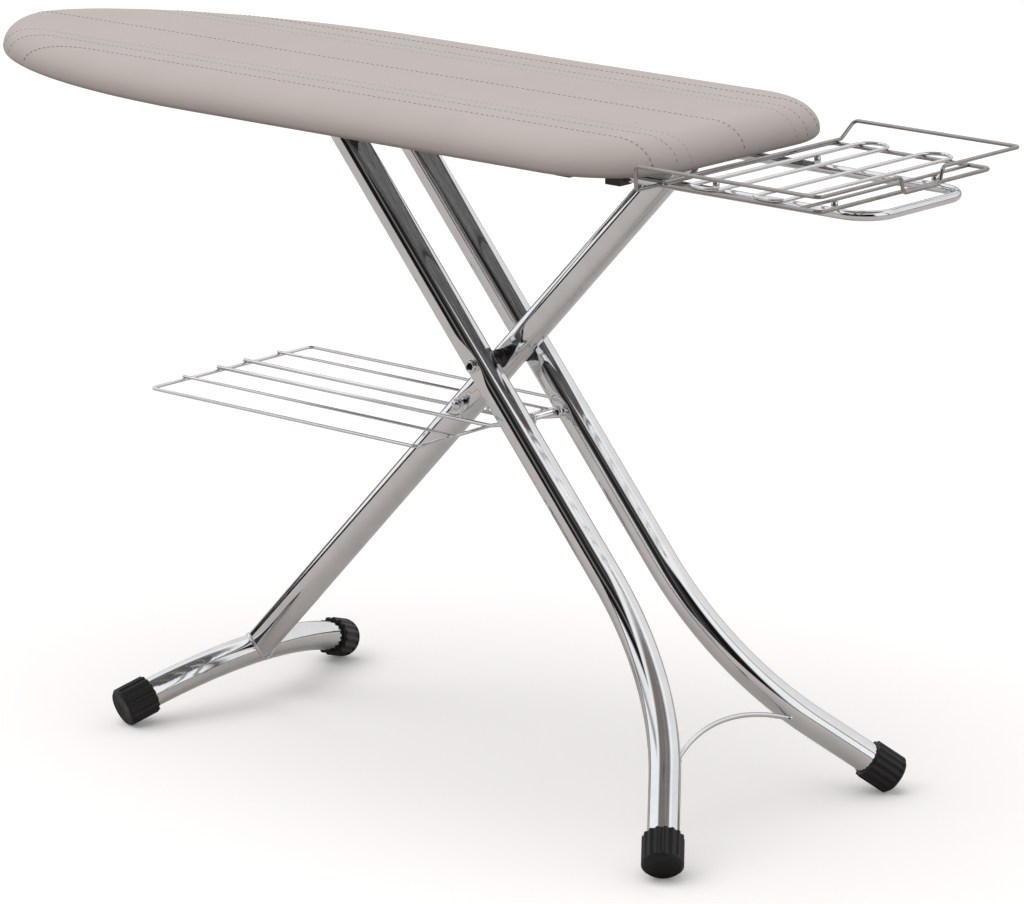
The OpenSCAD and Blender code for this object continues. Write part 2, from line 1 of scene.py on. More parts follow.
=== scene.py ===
import math
import bmesh
import bpy
import numpy as np
from mathutils import Matrix, Vector


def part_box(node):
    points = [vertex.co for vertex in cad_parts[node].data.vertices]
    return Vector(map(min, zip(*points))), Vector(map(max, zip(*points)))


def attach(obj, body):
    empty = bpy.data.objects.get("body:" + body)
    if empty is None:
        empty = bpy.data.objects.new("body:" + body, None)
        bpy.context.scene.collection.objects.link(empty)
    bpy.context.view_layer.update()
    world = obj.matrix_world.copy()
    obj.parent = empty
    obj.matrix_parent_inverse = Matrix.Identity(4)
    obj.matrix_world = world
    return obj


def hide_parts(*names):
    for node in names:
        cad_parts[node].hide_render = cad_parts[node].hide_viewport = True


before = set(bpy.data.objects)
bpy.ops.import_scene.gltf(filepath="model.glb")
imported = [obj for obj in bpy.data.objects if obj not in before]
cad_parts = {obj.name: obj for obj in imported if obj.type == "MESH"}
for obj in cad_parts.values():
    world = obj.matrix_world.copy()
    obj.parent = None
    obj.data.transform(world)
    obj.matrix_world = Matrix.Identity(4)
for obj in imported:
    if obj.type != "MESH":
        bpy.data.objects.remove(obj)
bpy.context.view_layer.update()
print("frame loaded")

mm = 0.001


def srgbToLinear(hexColour):
    # each channel c: c/12.92 below 0.04045, else ((c + 0.055) / 1.055) ^ 2.4
    channels = [int(hexColour[i:i + 2], 16) / 255 for i in (1, 3, 5)]
    return [c / 12.92 if c <= 0.04045 else ((c + 0.055) / 1.055) ** 2.4 for c in channels] + [1.0]


def addNode(tree, kind, settings=None, links=None):
    # settings: attribute or input name -> value, a colour as "#rrggbb", and "stops" -> a ramp's
    # (place, colour) pairs; links: input name or number -> output socket
    node = tree.nodes.new(kind)
    for key, value in (settings or {}).items():
        if key == "stops":
            elements = node.color_ramp.elements
            while len(elements) < len(value):
                elements.new(0.5)
            for element, (place, hexColour) in zip(elements, value):
                element.position = place
                element.color = srgbToLinear(hexColour)
        elif isinstance(key, str) and hasattr(node, key) and key not in node.inputs:
            setattr(node, key, value)
        else:
            node.inputs[key].default_value = srgbToLinear(value) if isinstance(value, str) else value
    for key, socket in (links or {}).items():
        tree.links.new(socket, node.inputs[key])
    return node


def newMaterial(name, settings):
    # a Principled surface with its steady values set straight on the shader
    material = bpy.data.materials.new(name)
    material.use_nodes = True
    tree = material.node_tree
    shader = tree.nodes["Principled BSDF"]
    for key, value in settings.items():
        shader.inputs[key].default_value = value
    return material, tree, shader


def patterns(made, *rows):
    # textures fixed to the object, one for each (kind, size of its pattern in mm, settings)
    place = addNode(made[1], "ShaderNodeTexCoord").outputs["Object"]
    return [addNode(made[1], "ShaderNodeTex" + kind, {"Scale": 1 / (size * mm), **settings}, {"Vector": place}).outputs
            for kind, size, settings in rows]


def dressSurface(made, toneFrom, stops, roughFrom, roughRange, relief, strength, depth, under=None):
    # colour = ramp of one pattern, roughness = range of another, bump = relief of the given depth in mm
    material, tree, shader = made
    tone = addNode(tree, "ShaderNodeValToRGB", {"stops": stops}, {"Fac": toneFrom})
    tree.links.new(tone.outputs["Color"], shader.inputs["Base Color"])
    rough = addNode(tree, "ShaderNodeMapRange", {"To Min": roughRange[0], "To Max": roughRange[1]},
                    {"Value": roughFrom})
    tree.links.new(rough.outputs["Result"], shader.inputs["Roughness"])
    bump = addNode(tree, "ShaderNodeBump", {"Strength": strength, "Distance": depth * mm}, {"Height": relief})
    if under:
        tree.links.new(under, bump.inputs["Normal"])
    tree.links.new(bump.outputs["Normal"], shader.inputs["Normal"])
    return material


def newPiece(name, points, faces, finish, body, replaced=None, slot=None, smooth=True):
    # a mesh piece from points in millimetres, riding on a body, in place of the node replaced
    mesh = bpy.data.meshes.new(name)
    mesh.from_pydata((np.asarray(points).reshape(-1, 3) * mm).tolist(), [], faces)
    mesh.update()
    mesh.polygons.foreach_set("use_smooth", [smooth] * len(mesh.polygons))
    mesh.materials.append(finishes[finish])
    piece = bpy.data.objects.new(name, mesh)
    bpy.context.scene.collection.objects.link(piece)
    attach(piece, body)
    if replaced:
        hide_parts(replaced)
    return piece


def gridFaces(rows, columns, closed=False, start=0, ring=False):
    # quads of a grid of rows x columns; closed joins the last column to the first, ring the rows
    r = np.arange(rows if ring else rows - 1)[:, None]
    c = np.arange(columns if closed else columns - 1)[None, :]
    r2, c2 = (r + 1) % rows, (c + 1) % columns
    quads = np.stack([r * columns + c, r * columns + c2, r2 * columns + c2, r2 * columns + c], axis=-1)
    return (quads.reshape(-1, 4) + start).tolist()


def tubeMesh(rings, start=0):
    # rings (n, m, 3) joined into a skin, its two ends closed by a flat face each
    rows, columns = rings.shape[:2]
    ends = [list(range(start, start + columns))[::-1],
            list(range(start + (rows - 1) * columns, start + rows * columns))]
    return rings.reshape(-1, 3), gridFaces(rows, columns, closed=True, start=start) + ends


def facesOutwards(points, faces):
    # a closed shell has positive volume when its faces point out
    p = np.asarray(points).reshape(-1, 3)
    tris = np.array([(f[0], f[k], f[k + 1]) for f in faces for k in range(1, len(f) - 1)])
    a, b, c = p[tris[:, 0]], p[tris[:, 1]], p[tris[:, 2]]
    volume = np.einsum("ij,ij->i", a, np.cross(b, c)).sum()
    return faces if volume > 0 else [list(f)[::-1] for f in faces]


def joinShells(shells):
    # several closed shells as one mesh
    points, faces, count = [], [], 0
    for shellPoints, shellFaces in shells:
        shellFaces = facesOutwards(shellPoints, shellFaces)
        points.append(np.asarray(shellPoints).reshape(-1, 3))
        faces += [[i + count for i in f] for f in shellFaces]
        count += len(points[-1])
    return np.concatenate(points), faces


def unit(v):
    return v / np.linalg.norm(v, axis=-1, keepdims=True)


def filletPath(corners, radius):
    # straight runs through the corners, each corner rounded by an arc that touches both runs
    corners = [np.array(c, dtype=float) for c in corners]
    path = [corners[0]]
    for a, b, c in zip(corners[:-2], corners[1:-1], corners[2:]):
        u, v = unit(a - b), unit(c - b)
        half = math.acos(max(-1, min(1, float(u @ v)))) / 2
        cut = min(radius / math.tan(half), 0.49 * np.linalg.norm(a - b), 0.49 * np.linalg.norm(c - b))
        r = cut * math.tan(half)
        centre = b + unit(u + v) * math.hypot(r, cut)
        count = max(3, int(math.degrees(math.pi - 2 * half) / 7))
        t = np.linspace(0, 1, count + 1)[:, None] * (math.pi - 2 * half)
        out = unit(b + u * cut - centre)
        path += list(centre + r * (out * np.cos(t) - u * np.sin(t)))
    return np.array(path + [corners[-1]])


def tidyPath(path):
    # drops points closer than a twentieth of a millimetre to the one before
    path = np.asarray(path)
    return path[np.r_[True, np.linalg.norm(np.diff(path, axis=0), axis=1) > 0.05]]


# a direction that no wire, pin or turned part runs along
skew = np.array([0.37, 0.21, 0.905])


def roundRings(path, along, radius, sides):
    # circles square to the path, and their unit spokes
    first = unit(np.cross(along, skew))
    second = np.cross(along, first)
    turn = np.linspace(0, 2 * np.pi, sides, endpoint=False)
    spokes = first[:, None] * np.cos(turn)[:, None] + second[:, None] * np.sin(turn)[:, None]
    return path[:, None] + radius * spokes, spokes


def wireShell(path, radius, sides=16):
    # a circle carried along the path, square to it, with slightly rounded ends
    path = tidyPath(path)
    ahead = np.vstack([path[1:], 2 * path[-1] - path[-2]]) - path
    behind = path - np.vstack([2 * path[0] - path[1], path[:-1]])
    along = unit(unit(ahead) + unit(behind))
    rings, spokes = roundRings(path, along, radius, sides)
    tip = 0.5 * min(radius, 1.5)
    head = (path[0] - along[0] * tip) + (radius - tip) * spokes[0]
    tail = (path[-1] + along[-1] * tip) + (radius - tip) * spokes[-1]
    return tubeMesh(np.concatenate([head[None], rings, tail[None]]))


def loopShell(path, radius, sides=16):
    # a circle carried round a closed path
    path = tidyPath(path)
    if np.linalg.norm(path[0] - path[-1]) < 0.05:
        path = path[:-1]
    along = unit(unit(np.roll(path, -1, 0) - path) + unit(path - np.roll(path, 1, 0)))
    rings = roundRings(path, along, radius, sides)[0]
    return rings.reshape(-1, 3), gridFaces(len(path), sides, closed=True, ring=True)


def closedFillet(corners, radius):
    # a closed run through the corners with every corner rounded
    loop = [np.array(c, dtype=float) for c in corners]
    middle = (loop[0] + loop[-1]) / 2
    return filletPath([middle] + loop + [middle], radius)


def latheShell(profile, origin, axis, sides=48, shape=None):
    # a profile of (along, radius) turned about the axis; shape(ringRadius, along, angle) may change it
    profile = np.array(profile, dtype=float)
    axis = unit(np.array(axis, dtype=float))
    first = unit(np.cross(axis, skew))
    second = np.cross(axis, first)
    turn = np.linspace(0, 2 * np.pi, sides, endpoint=False)
    radius = np.repeat(profile[:, 1:2], sides, axis=1)
    if shape:
        radius = shape(radius, profile[:, 0:1], turn[None, :])
    circle = first * np.cos(turn)[:, None] + second * np.sin(turn)[:, None]
    rings = np.array(origin) + profile[:, None, 0:1] * axis + radius[..., None] * circle
    return tubeMesh(rings)


def smoothStep(x):
    # 0 below 0, 1 above 1, and 3x^2 - 2x^3 between
    x = np.clip(x, 0, 1)
    return x * x * (3 - 2 * x)


def chromeFinish(name, roughness, grain, wear, tints=("#e9eaec", "#dddfe2")):
    # bright nickel-chrome plating on drawn steel: mirror-like, with wiping marks and a faint grain
    # the plating's grain is far finer than 0.8 mm, and is drawn this coarse so that it shows
    made = newMaterial(name, {"Metallic": 1.0})
    smudge, coarse = patterns(made, ("Noise", 38, {"Detail": 4.0, "Roughness": 0.6}), ("Noise", 0.8, {"Detail": 2.0}))
    return dressSurface(made, smudge["Fac"], [(0.3, tints[0]), (0.7, tints[1])],
                        smudge["Fac"], (roughness, roughness + wear), coarse["Fac"], grain, 0.02)


def mouldedFinish(name, colour, spot, roughness, grainSize, depth):
    # moulded rubber or plastic: fine spark-eroded grain and slight tone changes
    made = newMaterial(name, {"IOR": 1.5})
    cloud, grain = patterns(made, ("Noise", 9, {"Detail": 5.0}), ("Noise", grainSize, {"Detail": 3.0}))
    return dressSurface(made, cloud["Fac"], [(0.3, colour), (0.75, spot)],
                        cloud["Fac"], (roughness - 0.08, roughness + 0.1), grain["Fac"], 0.5, depth)


def zincFinish(name):
    # hot-dip zinc on pressed sheet: soft grey with spangle crystals about 7 mm across
    made = newMaterial(name, {"Metallic": 1.0})
    spangle, = patterns(made, ("Voronoi", 7, {}))
    return dressSurface(made, spangle["Color"], [(0.2, "#8f9397"), (0.8, "#a9adb1")],
                        spangle["Distance"], (0.34, 0.52), spangle["Distance"], 0.25, 0.05)


def turnedSteelFinish(name, light, dark, roughness):
    # turned or cold-drawn steel: a soft shine and tool lines, which are really about 0.4 mm apart
    # and are drawn coarser, at a scale of 2.5 mm, so that they show
    made = newMaterial(name, {"Metallic": 1.0})
    cloud, lines = patterns(made, ("Noise", 6, {"Detail": 4.0}), ("Wave", 2.5, {"Distortion": 1.0}))
    return dressSurface(made, cloud["Fac"], [(0.3, dark), (0.7, light)],
                        cloud["Fac"], (roughness, roughness + 0.15), lines["Fac"], 0.15, 0.02)


def coverFinish(name, rowPlaces):
    # cotton with an aluminised coating, stretched tight: plain weave, thread spacing about 0.7 mm, satin sheen
    made = newMaterial(name, {"IOR": 1.5, "Sheen Weight": 0.25, "Sheen Roughness": 0.45, "Specular IOR Level": 0.45})
    tree = made[1]
    cloud, fleck = patterns(made, ("Noise", 140, {"Detail": 3.0}), ("Noise", 1.6, {"Detail": 2.0}))
    mix = addNode(tree, "ShaderNodeMath", {"operation": "MULTIPLY_ADD", 1: 0.3}, {0: fleck["Fac"], 2: cloud["Fac"]})
    place = addNode(tree, "ShaderNodeTexCoord").outputs["Object"]
    axes = addNode(tree, "ShaderNodeSeparateXYZ", links={"Vector": place})
    # warp and weft: product of two sine waves, each twice the thread spacing long
    threadTurns = 2 * math.pi / (1.4 * mm)
    waves = []
    for axisName in ("X", "Y"):
        turns = addNode(tree, "ShaderNodeMath", {"operation": "MULTIPLY", 1: threadTurns}, {0: axes.outputs[axisName]})
        wave = addNode(tree, "ShaderNodeMath", {"operation": "SINE"}, {0: turns.outputs["Value"]})
        waves.append(wave.outputs["Value"])
    weave = addNode(tree, "ShaderNodeMath", {"operation": "MULTIPLY"}, {0: waves[0], 1: waves[1]})
    weaveBump = addNode(tree, "ShaderNodeBump", {"Strength": 0.3, "Distance": 0.05 * mm},
                        {"Height": weave.outputs["Value"]})
    # each sewn row draws the cloth down: a soft groove 2.4 mm wide along X at the row's Y
    groove = None
    for rowY in rowPlaces:
        off = addNode(tree, "ShaderNodeMath", {"operation": "ADD", 1: -rowY * mm}, {0: axes.outputs["Y"]})
        near = addNode(tree, "ShaderNodeMath", {"operation": "ABSOLUTE"}, {0: off.outputs["Value"]})
        depth = addNode(tree, "ShaderNodeMapRange", {"interpolation_type": "SMOOTHSTEP", "From Min": 0.0,
                                                     "From Max": 1.2 * mm, "To Min": 0.0, "To Max": 1.0},
                        {"Value": near.outputs["Value"]}).outputs["Result"]
        if groove is None:
            groove = depth
        else:
            groove = addNode(tree, "ShaderNodeMath", {"operation": "MINIMUM"}, {0: groove, 1: depth}).outputs["Value"]
    return dressSurface(made, mix.outputs["Value"], [(0.4, "#b9aeaa"), (0.9, "#beb3af")], fleck["Fac"], (0.52, 0.66),
                        groove, 0.6, 0.25, under=weaveBump.outputs["Normal"])


def feltFinish(name, pale, dark):
    # needled wool felt or sewing thread: matt, with fibres about 0.5 mm apart
    made = newMaterial(name, {"IOR": 1.5, "Sheen Weight": 0.4, "Sheen Roughness": 0.5})
    fibre, = patterns(made, ("Noise", 0.5, {"Detail": 4.0}))
    return dressSurface(made, fibre["Fac"], [(0.3, dark), (0.7, pale)],
                        fibre["Fac"], (0.75, 0.95), fibre["Fac"], 0.4, 0.1)


stitches = {"dash": 4.8, "pitch": 8.0, "width": 1.25, "proud": 0.4,
            "rows": {"stitch_rows_dark": [0, 154, -154], "stitch_rows_pale": [98, -98],
                     "stitch_rows_green": [121, -121]}}
stitchRows = sorted(y for rows in stitches["rows"].values() for y in rows)

finishes = {
    "chromeTube": chromeFinish("bright_chrome_on_drawn_tube", 0.045, 0.025, 0.05),
    "chromeWire": chromeFinish("bright_chrome_on_wire", 0.09, 0.08, 0.08),
    # painted reflection: the rest's frame and rail mirror a darker part of the room, and this darker tint paints that
    # reflection into their colour
    "darkWire": chromeFinish("chrome_on_wire_painted_dark_reflection", 0.07, 0.08, 0.07, ("#aeabaa", "#9a9796")),
    "rubber": mouldedFinish("moulded_black_rubber", "#090909", "#131314", 0.5, 0.5, 0.05),
    "blackPlastic": mouldedFinish("moulded_black_acetal", "#161618", "#1f1f22", 0.36, 0.7, 0.03),
    "whitePlastic": mouldedFinish("moulded_white_nylon", "#dcdbd6", "#e9e8e4", 0.4, 0.7, 0.03),
    "zincSheet": zincFinish("galvanised_pressed_sheet"),
    "steel": turnedSteelFinish("bright_turned_steel", "#c4c6c9", "#aeb1b5", 0.2),
    "blackSteel": turnedSteelFinish("black_oxide_steel", "#2c2c2f", "#19191b", 0.25),
    "cover": coverFinish("coated_cotton_cover", stitchRows),
    "felt": feltFinish("needled_wool_felt", "#e6e1d6", "#d3cdc0"),
    "stitch_rows_dark": feltFinish("dark_grey_thread", "#464446", "#2b2a2c"),
    "stitch_rows_pale": feltFinish("pale_green_thread", "#a4bcae", "#85a393"),
    "stitch_rows_green": feltFinish("green_thread", "#5fa58c", "#3f8a70"),
}
print("finishes made")


def boxOf(node):
    low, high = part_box(node)
    return np.array(low) / mm, np.array(high) / mm


def centreOf(node):
    low, high = boxOf(node)
    return (low + high) / 2


def axisOf(node):
    # where a pin across the board has its axis: its middle in X and Z, on the middle plane
    middle = centreOf(node)
    return np.array([middle[0], 0, middle[2]])


# places taken from the frame, in millimetres
coverLow, coverHigh = boxOf("cover")
noseX, tailX, boardTop, hemZ = coverLow[0], coverHigh[0], coverHigh[2], coverLow[2]
pivot, hinge, slideBar = axisOf("pivot_nut"), axisOf("hinge_pin"), axisOf("slide_bar")
armLength = float(np.linalg.norm(hinge - pivot))
frontDown = unit(pivot - hinge)       # down the single leg
rearDown = unit(pivot - slideBar)     # down the twin legs
acrossBoard = np.array([0.0, 1.0, 0.0])


board = {"noseLength": 505.0, "noseBlunt": 1.14, "tailCorner": 120.0, "edgeInset": 46.0, "edgeTurn": 6.0,
         "flatInsets": [80.0, 62.0, 54.0], "spineNose": 170.0, "spineTail": 150.0, "ringPoints": 560,
         "hem": 26.0, "hemLift": 0.6, "gathers": 1.1, "waveDrop": 0.45, "cloth": 1.0, "turnUnder": 30.0}
board["length"] = tailX - noseX
board["half"] = (coverHigh[1] - coverLow[1]) / 2


def outlineAt(p, inset):
    # the board's outline moved in by inset. p runs 0-1 round the nose, 1-2 along the side,
    # 2-3 round the tail corner and 3-4 along the tail; the nose is a blunted sine curve
    wide = board["half"] - inset
    noseRun = board["noseLength"] - inset
    cornerR = board["tailCorner"] - inset
    quarter = np.pi / 2
    a = np.clip(p, 0, 1) * quarter
    c = np.clip(p - 2, 0, 1) * quarter
    x = inset + noseRun * (1 - np.cos(a))
    y = wide * np.sin(a) ** board["noseBlunt"]
    straight = board["length"] - board["tailCorner"] - board["noseLength"]
    x = x + np.clip(p - 1, 0, 1) * straight + cornerR * np.sin(c)
    y = y - cornerR * (1 - np.cos(c)) - np.clip(p - 3, 0, 1) * (board["half"] - board["tailCorner"])
    return noseX + x, y


def ringPlaces(count):
    # places p spread evenly by length round half of the outline
    p = np.linspace(0, 4, 8001)
    x, y = outlineAt(p, 0.0)
    run = np.r_[0, np.cumsum(np.hypot(np.diff(x), np.diff(y)))]
    return np.interp(np.linspace(0, run[-1], count), run, p), run[-1]


halfPlaces, halfRun = ringPlaces(board["ringPoints"] // 2 + 1)


def softWaves(x, y):
    # slow dips of a tight cover over felt: two long sine waves, under a quarter of a millimetre
    return 0.16 * np.sin(x / 83 + 0.7) * np.cos(y / 61) + 0.06 * np.sin(x / 37 + y / 52)


def sag(x, y, z):
    # how far the cover's skin moves off its even shape: nothing at the hem, the waves and a small drop on top
    return smoothStep((z - hemZ - 8) / 25) * (softWaves(x, y) - board["waveDrop"])


def edgeProfile(gap, steps=15):
    # (inset, height) down the soft edge, gap millimetres inside the cover: a quarter ellipse
    # from the flat top to the widest place, then a small round turn under to the hem
    top, low, turn = boardTop - gap, hemZ + board["edgeTurn"], board["edgeTurn"] - min(gap, 4.5)
    a = np.linspace(0, np.pi / 2, steps)
    inset = gap + (board["edgeInset"] - gap) * (1 - np.sin(a))
    height = low + (top - low) * np.cos(a)
    b = np.linspace(0, np.pi / 2, 6)[1:]
    inset = np.r_[inset, gap + turn * (1 - np.cos(b))]
    height = np.r_[height, low - turn * np.sin(b)]
    return inset, height


def boardRings(inset, height):
    # rings of points round the whole outline, one for each (inset, height)
    x, y = outlineAt(halfPlaces[None, :], np.asarray(inset)[:, None])
    z = np.repeat(np.asarray(height)[:, None], x.shape[1], axis=1)
    near = np.stack([x, y, z], -1)
    far = near[:, -2:0:-1] * [1, -1, 1]
    return np.concatenate([near, far], axis=1)


def toSpine(ring, height, shares):
    # rows from a ring in to the middle line: each point slides to the nearest place on the line
    alongX = np.clip(ring[:, 0], noseX + board["spineNose"], tailX - board["spineTail"])
    spine = np.stack([alongX, ring[:, 1] * 0, ring[:, 2] * 0 + height], -1)
    return ring[None] * (1 - shares[:, None, None]) + spine[None] * shares[:, None, None]


def mergeDoubles(piece, distance=0.02 * mm):
    # joins points that lie on each other, which closes seams and poles
    shape = bmesh.new()
    shape.from_mesh(piece.data)
    bmesh.ops.remove_doubles(shape, verts=shape.verts, dist=distance)
    bmesh.ops.recalc_face_normals(shape, faces=shape.faces)
    shape.to_mesh(piece.data)
    shape.free()


# cover: top, soft edge, turned-under hem with gathers
inset, height = edgeProfile(0.0)
hemRun = np.linspace(board["edgeTurn"], board["hem"], 6)[1:]
edge = boardRings(inset, height)
runPlace = np.linspace(0, 2 * halfRun, edge.shape[1], endpoint=False)
hem = boardRings(hemRun, np.full(len(hemRun), hemZ + board["hemLift"]))
share = ((hemRun - hemRun[0]) / (hemRun[-1] - hemRun[0]))[:, None]
gather = np.sin(runPlace / 5.1) + 0.6 * np.sin(runPlace / 3.3 + 1.9) + 0.5 * np.sin(runPlace / 17)
hem[..., 2] += 0.5 + share * board["gathers"] * gather[None]
inner = boardRings(board["flatInsets"], [boardTop] * 3)
top = toSpine(inner[0], boardTop, np.linspace(1, 0, 12)[:-1])
rings = np.concatenate([top, inner, edge, hem])
rings[..., 2] += sag(rings[..., 0], rings[..., 1], rings[..., 2])
cover = newPiece("stretched_cover", rings, gridFaces(*rings.shape[:2], closed=True), "cover", "board", "cover")
mergeDoubles(cover)
wall = cover.modifiers.new("clothThickness", "SOLIDIFY")
wall.thickness = board["cloth"] * mm
wall.offset = -1
x, y = outlineAt(np.linspace(0, 4, 2000), 0.0)

# felt layer between cover and panel, its rim rounded down with the cover
feltShape = {"inset": 80.0, "gap": 2.0, "under": 9.6, "edgeShift": 5.5, "edgeThick": 5.0, "rings": 9}
inset, height = (v[:feltShape["rings"]] for v in edgeProfile(feltShape["gap"], 13))
topZ, underZ = boardTop - feltShape["gap"], boardTop - feltShape["under"]
feltRings = np.concatenate([
    toSpine(boardRings([feltShape["inset"]], [topZ])[0], topZ, np.linspace(1, 0, 8)), boardRings(inset, height),
    boardRings(inset[::-1] + feltShape["edgeShift"], np.minimum(height[::-1] - feltShape["edgeThick"], underZ)),
    toSpine(boardRings([feltShape["inset"]], [underZ])[0], underZ, np.linspace(0, 1, 8))])
felt = newPiece("felt_layer", feltRings, gridFaces(*feltRings.shape[:2], closed=True), "felt", "board", "felt_pad")
mergeDoubles(felt)

# pressed rim: a rolled sheet that follows the cover's edge inside it, open below; its lip is given
# as (inset, height above the hem)
rimShape = {"gap": 10.5, "under": 11.0, "inner": 70.0, "sheet": 1.2, "lip": [(0.4, 3.2), (2.6, 1.9)]}
inset, height = edgeProfile(rimShape["gap"], 13)
rimTop = boardTop - rimShape["under"]
lip = [[inset[12] + shift, hemZ + above] for shift, above in rimShape["lip"]]
rimOut = np.vstack([[rimShape["inner"], rimTop], np.stack([inset, np.minimum(height, rimTop)], -1)[1:13], lip])
rimIn = rimOut[::-1] + np.array([rimShape["sheet"], 0.0])
rimIn[-12:, 1] -= rimShape["sheet"]
rimRings = boardRings(*np.vstack([rimOut, rimIn]).T)
rim = newPiece("pressed_rim", rimRings, gridFaces(*rimRings.shape[:2], closed=True, ring=True), "zincSheet", "board",
               "board_rim")
mergeDoubles(rim)
print("cover, felt and rim made")


# sewn rows: short dashes of thread that follow the cover from its nose edge to its tail edge
def rowPath(y):
    # the line y = constant over the cover: up the nose edge, along the top, down the tail edge
    inset, height = edgeProfile(0.0, 24)
    inset, height = inset[:24][::-1], height[:24][::-1]
    wide = board["half"] - inset
    a = np.arcsin(np.clip(abs(y) / wide, 0, 1) ** (1 / board["noseBlunt"]))
    noseSide = noseX + inset + (board["noseLength"] - inset) * (1 - np.cos(a))
    tailInset, tailHeight = inset[::-1], height[::-1]
    flatHalf = board["half"] - board["tailCorner"]
    corner = board["tailCorner"] - tailInset
    lean = np.sqrt(np.clip(corner ** 2 - max(abs(y) - flatHalf, 0) ** 2, 0, None))
    tailSide = np.where(abs(y) > flatHalf, tailX - board["tailCorner"] + lean, tailX - tailInset)
    across = np.linspace(noseSide[-1] + 3, tailSide[0] - 3, 400)
    x = np.r_[noseSide, across, tailSide]
    z = np.r_[height, np.full(400, boardTop), tailHeight]
    return np.stack([x, np.full_like(x, y), z + sag(x, y, z)], -1)


def stitchShell(y, skip):
    # each dash: four six-sided rings along the path, fat in the middle and nearly closed at its ends
    path = rowPath(y)
    run = np.r_[0, np.cumsum(np.linalg.norm(np.diff(path, axis=0), axis=1))]
    starts = np.arange(skip, run[-1] - stitches["dash"], stitches["pitch"])
    shares = np.array([0.0, 0.16, 0.5, 0.84, 1.0])
    fat = np.array([0.25, 0.85, 1.0, 0.85, 0.25])
    lift = np.array([-0.35, 0.0, 0.25, 0.0, -0.35])
    at = starts[:, None] + shares[None] * stitches["dash"]
    centre = np.stack([np.interp(at, run, path[:, k]) for k in range(3)], -1)
    ahead = np.stack([np.interp(at + 1.0, run, path[:, k]) for k in range(3)], -1)
    behind = np.stack([np.interp(at - 1.0, run, path[:, k]) for k in range(3)], -1)
    along = unit(ahead - behind)
    side = np.broadcast_to(acrossBoard, along.shape)
    up = np.cross(along, side)
    turn = np.linspace(0, 2 * np.pi, 6, endpoint=False)
    rise = (stitches["proud"] * (lift[:, None] + fat[:, None] * np.sin(turn)))[None, :, :, None]
    spread = (stitches["width"] / 2 * fat[:, None] * np.cos(turn))[None, :, :, None]
    ring = centre[:, :, None] + up[:, :, None] * rise + side[:, :, None] * spread
    count = len(starts)
    faces = np.array(gridFaces(5, 6, closed=True))
    ends = [list(range(6))[::-1], list(range(24, 30))]
    allFaces = (faces[None] + 30 * np.arange(count)[:, None, None]).reshape(-1, 4).tolist()
    allFaces += [[i + 30 * k for i in end] for k in range(count) for end in ends]
    return ring.reshape(-1, 3), allFaces


for rowName, rowPlaces in stitches["rows"].items():
    shells = [stitchShell(y, 2.0 + 1.3 * k) for k, y in enumerate(rowPlaces)]
    newPiece(rowName, *joinShells(shells), rowName, "board", slot="cover_fabric")
print("stitches made")

# leg tubes
tube = {"r": 19.0, "wall": 1.2, "rearY": 51.5, "bendStart": 305.0, "bendR": 390.0, "bendAngle": 40.0,
        "archR": 400.0, "archHalf": 25.0, "past": 16.0, "sides": 72, "bore": 40.0, "lip": 0.35}
frontUp = np.cross(frontDown, acrossBoard)
rearUp = np.cross(rearDown, acrossBoard)


def pressed(rings, centre, side, faceWay, run, flats):
    # flats pressed into a tube: within each (place along, length up, length down, depth) the wall
    # is held under a plane that dips and comes back in smooth steps, which leaves a teardrop mark
    limit = np.full(len(rings), tube["r"] + 5.0)
    for place, before, after, depth in flats:
        t = np.where(run < place, (place - run) / before, (run - place) / after)
        limit = np.minimum(limit, tube["r"] + 0.02 - depth * (1 - smoothStep(t)) + 5.0 * (t > 1))
    out = ((rings - centre[:, None]) @ side) * faceWay
    over = np.clip(out - limit[:, None], 0, None)
    return rings - (over * 0.94 * faceWay)[..., None] * side


def sweptLeg(path, run, side, up, dents):
    # a round tube along the path; side and up span its section; dents: way -> list of pressed flats
    along = unit(np.gradient(path, axis=0))
    across = unit(np.cross(np.broadcast_to(up, along.shape), along))
    across = across * np.sign(across @ side)[:, None]
    turn = np.linspace(0, 2 * np.pi, tube["sides"], endpoint=False)
    rings = path[:, None] + tube["r"] * (across[:, None] * np.cos(turn)[:, None] + up * np.sin(turn)[:, None])
    for way, flats in dents.items():
        rings = pressed(rings, path, side, way, run, flats)
    return rings


def openTop(rings, centre, away):
    # a tube's rings with its cut end before them: closed bottom of the bore, wall and rounded lip
    r, inside, lip = tube["r"], tube["r"] - tube["wall"], tube["lip"]
    shares = [(inside, -tube["bore"]), (inside, -lip), (inside + lip, 0.0), (r - lip, 0.0)]
    spokes = (rings[0] - centre) / r
    return np.concatenate([[centre + spokes * radius + away * shift for radius, shift in shares], rings])


def localPlace(down, up, s, y, w=0.0):
    # a place s down a leg from the pivot, y across the board and w square to both
    s, y, w = (np.asarray(v, dtype=float)[..., None] for v in (s, y, w))
    return pivot + down * s + acrossBoard * y + up * w


# feet: where each tube end goes into its rubber cap
cap = {"r": 25.0, "length": 42.0, "bevel": 3.0, "wall": 4.0, "ribs": 16, "ribDepth": 2.2}
capSeat = cap["length"] - cap["wall"]


def dropOf(axisZ):
    # height of a cap's middle above the floor when its lowest corner touches it
    return (cap["length"] / 2 - cap["bevel"]) * axisZ + cap["r"] * math.sqrt(1 - axisZ ** 2)


sinFront, sinRear = -frontDown[2], -rearDown[2]
archHalf, bendAngle = math.radians(tube["archHalf"]), math.radians(tube["bendAngle"])
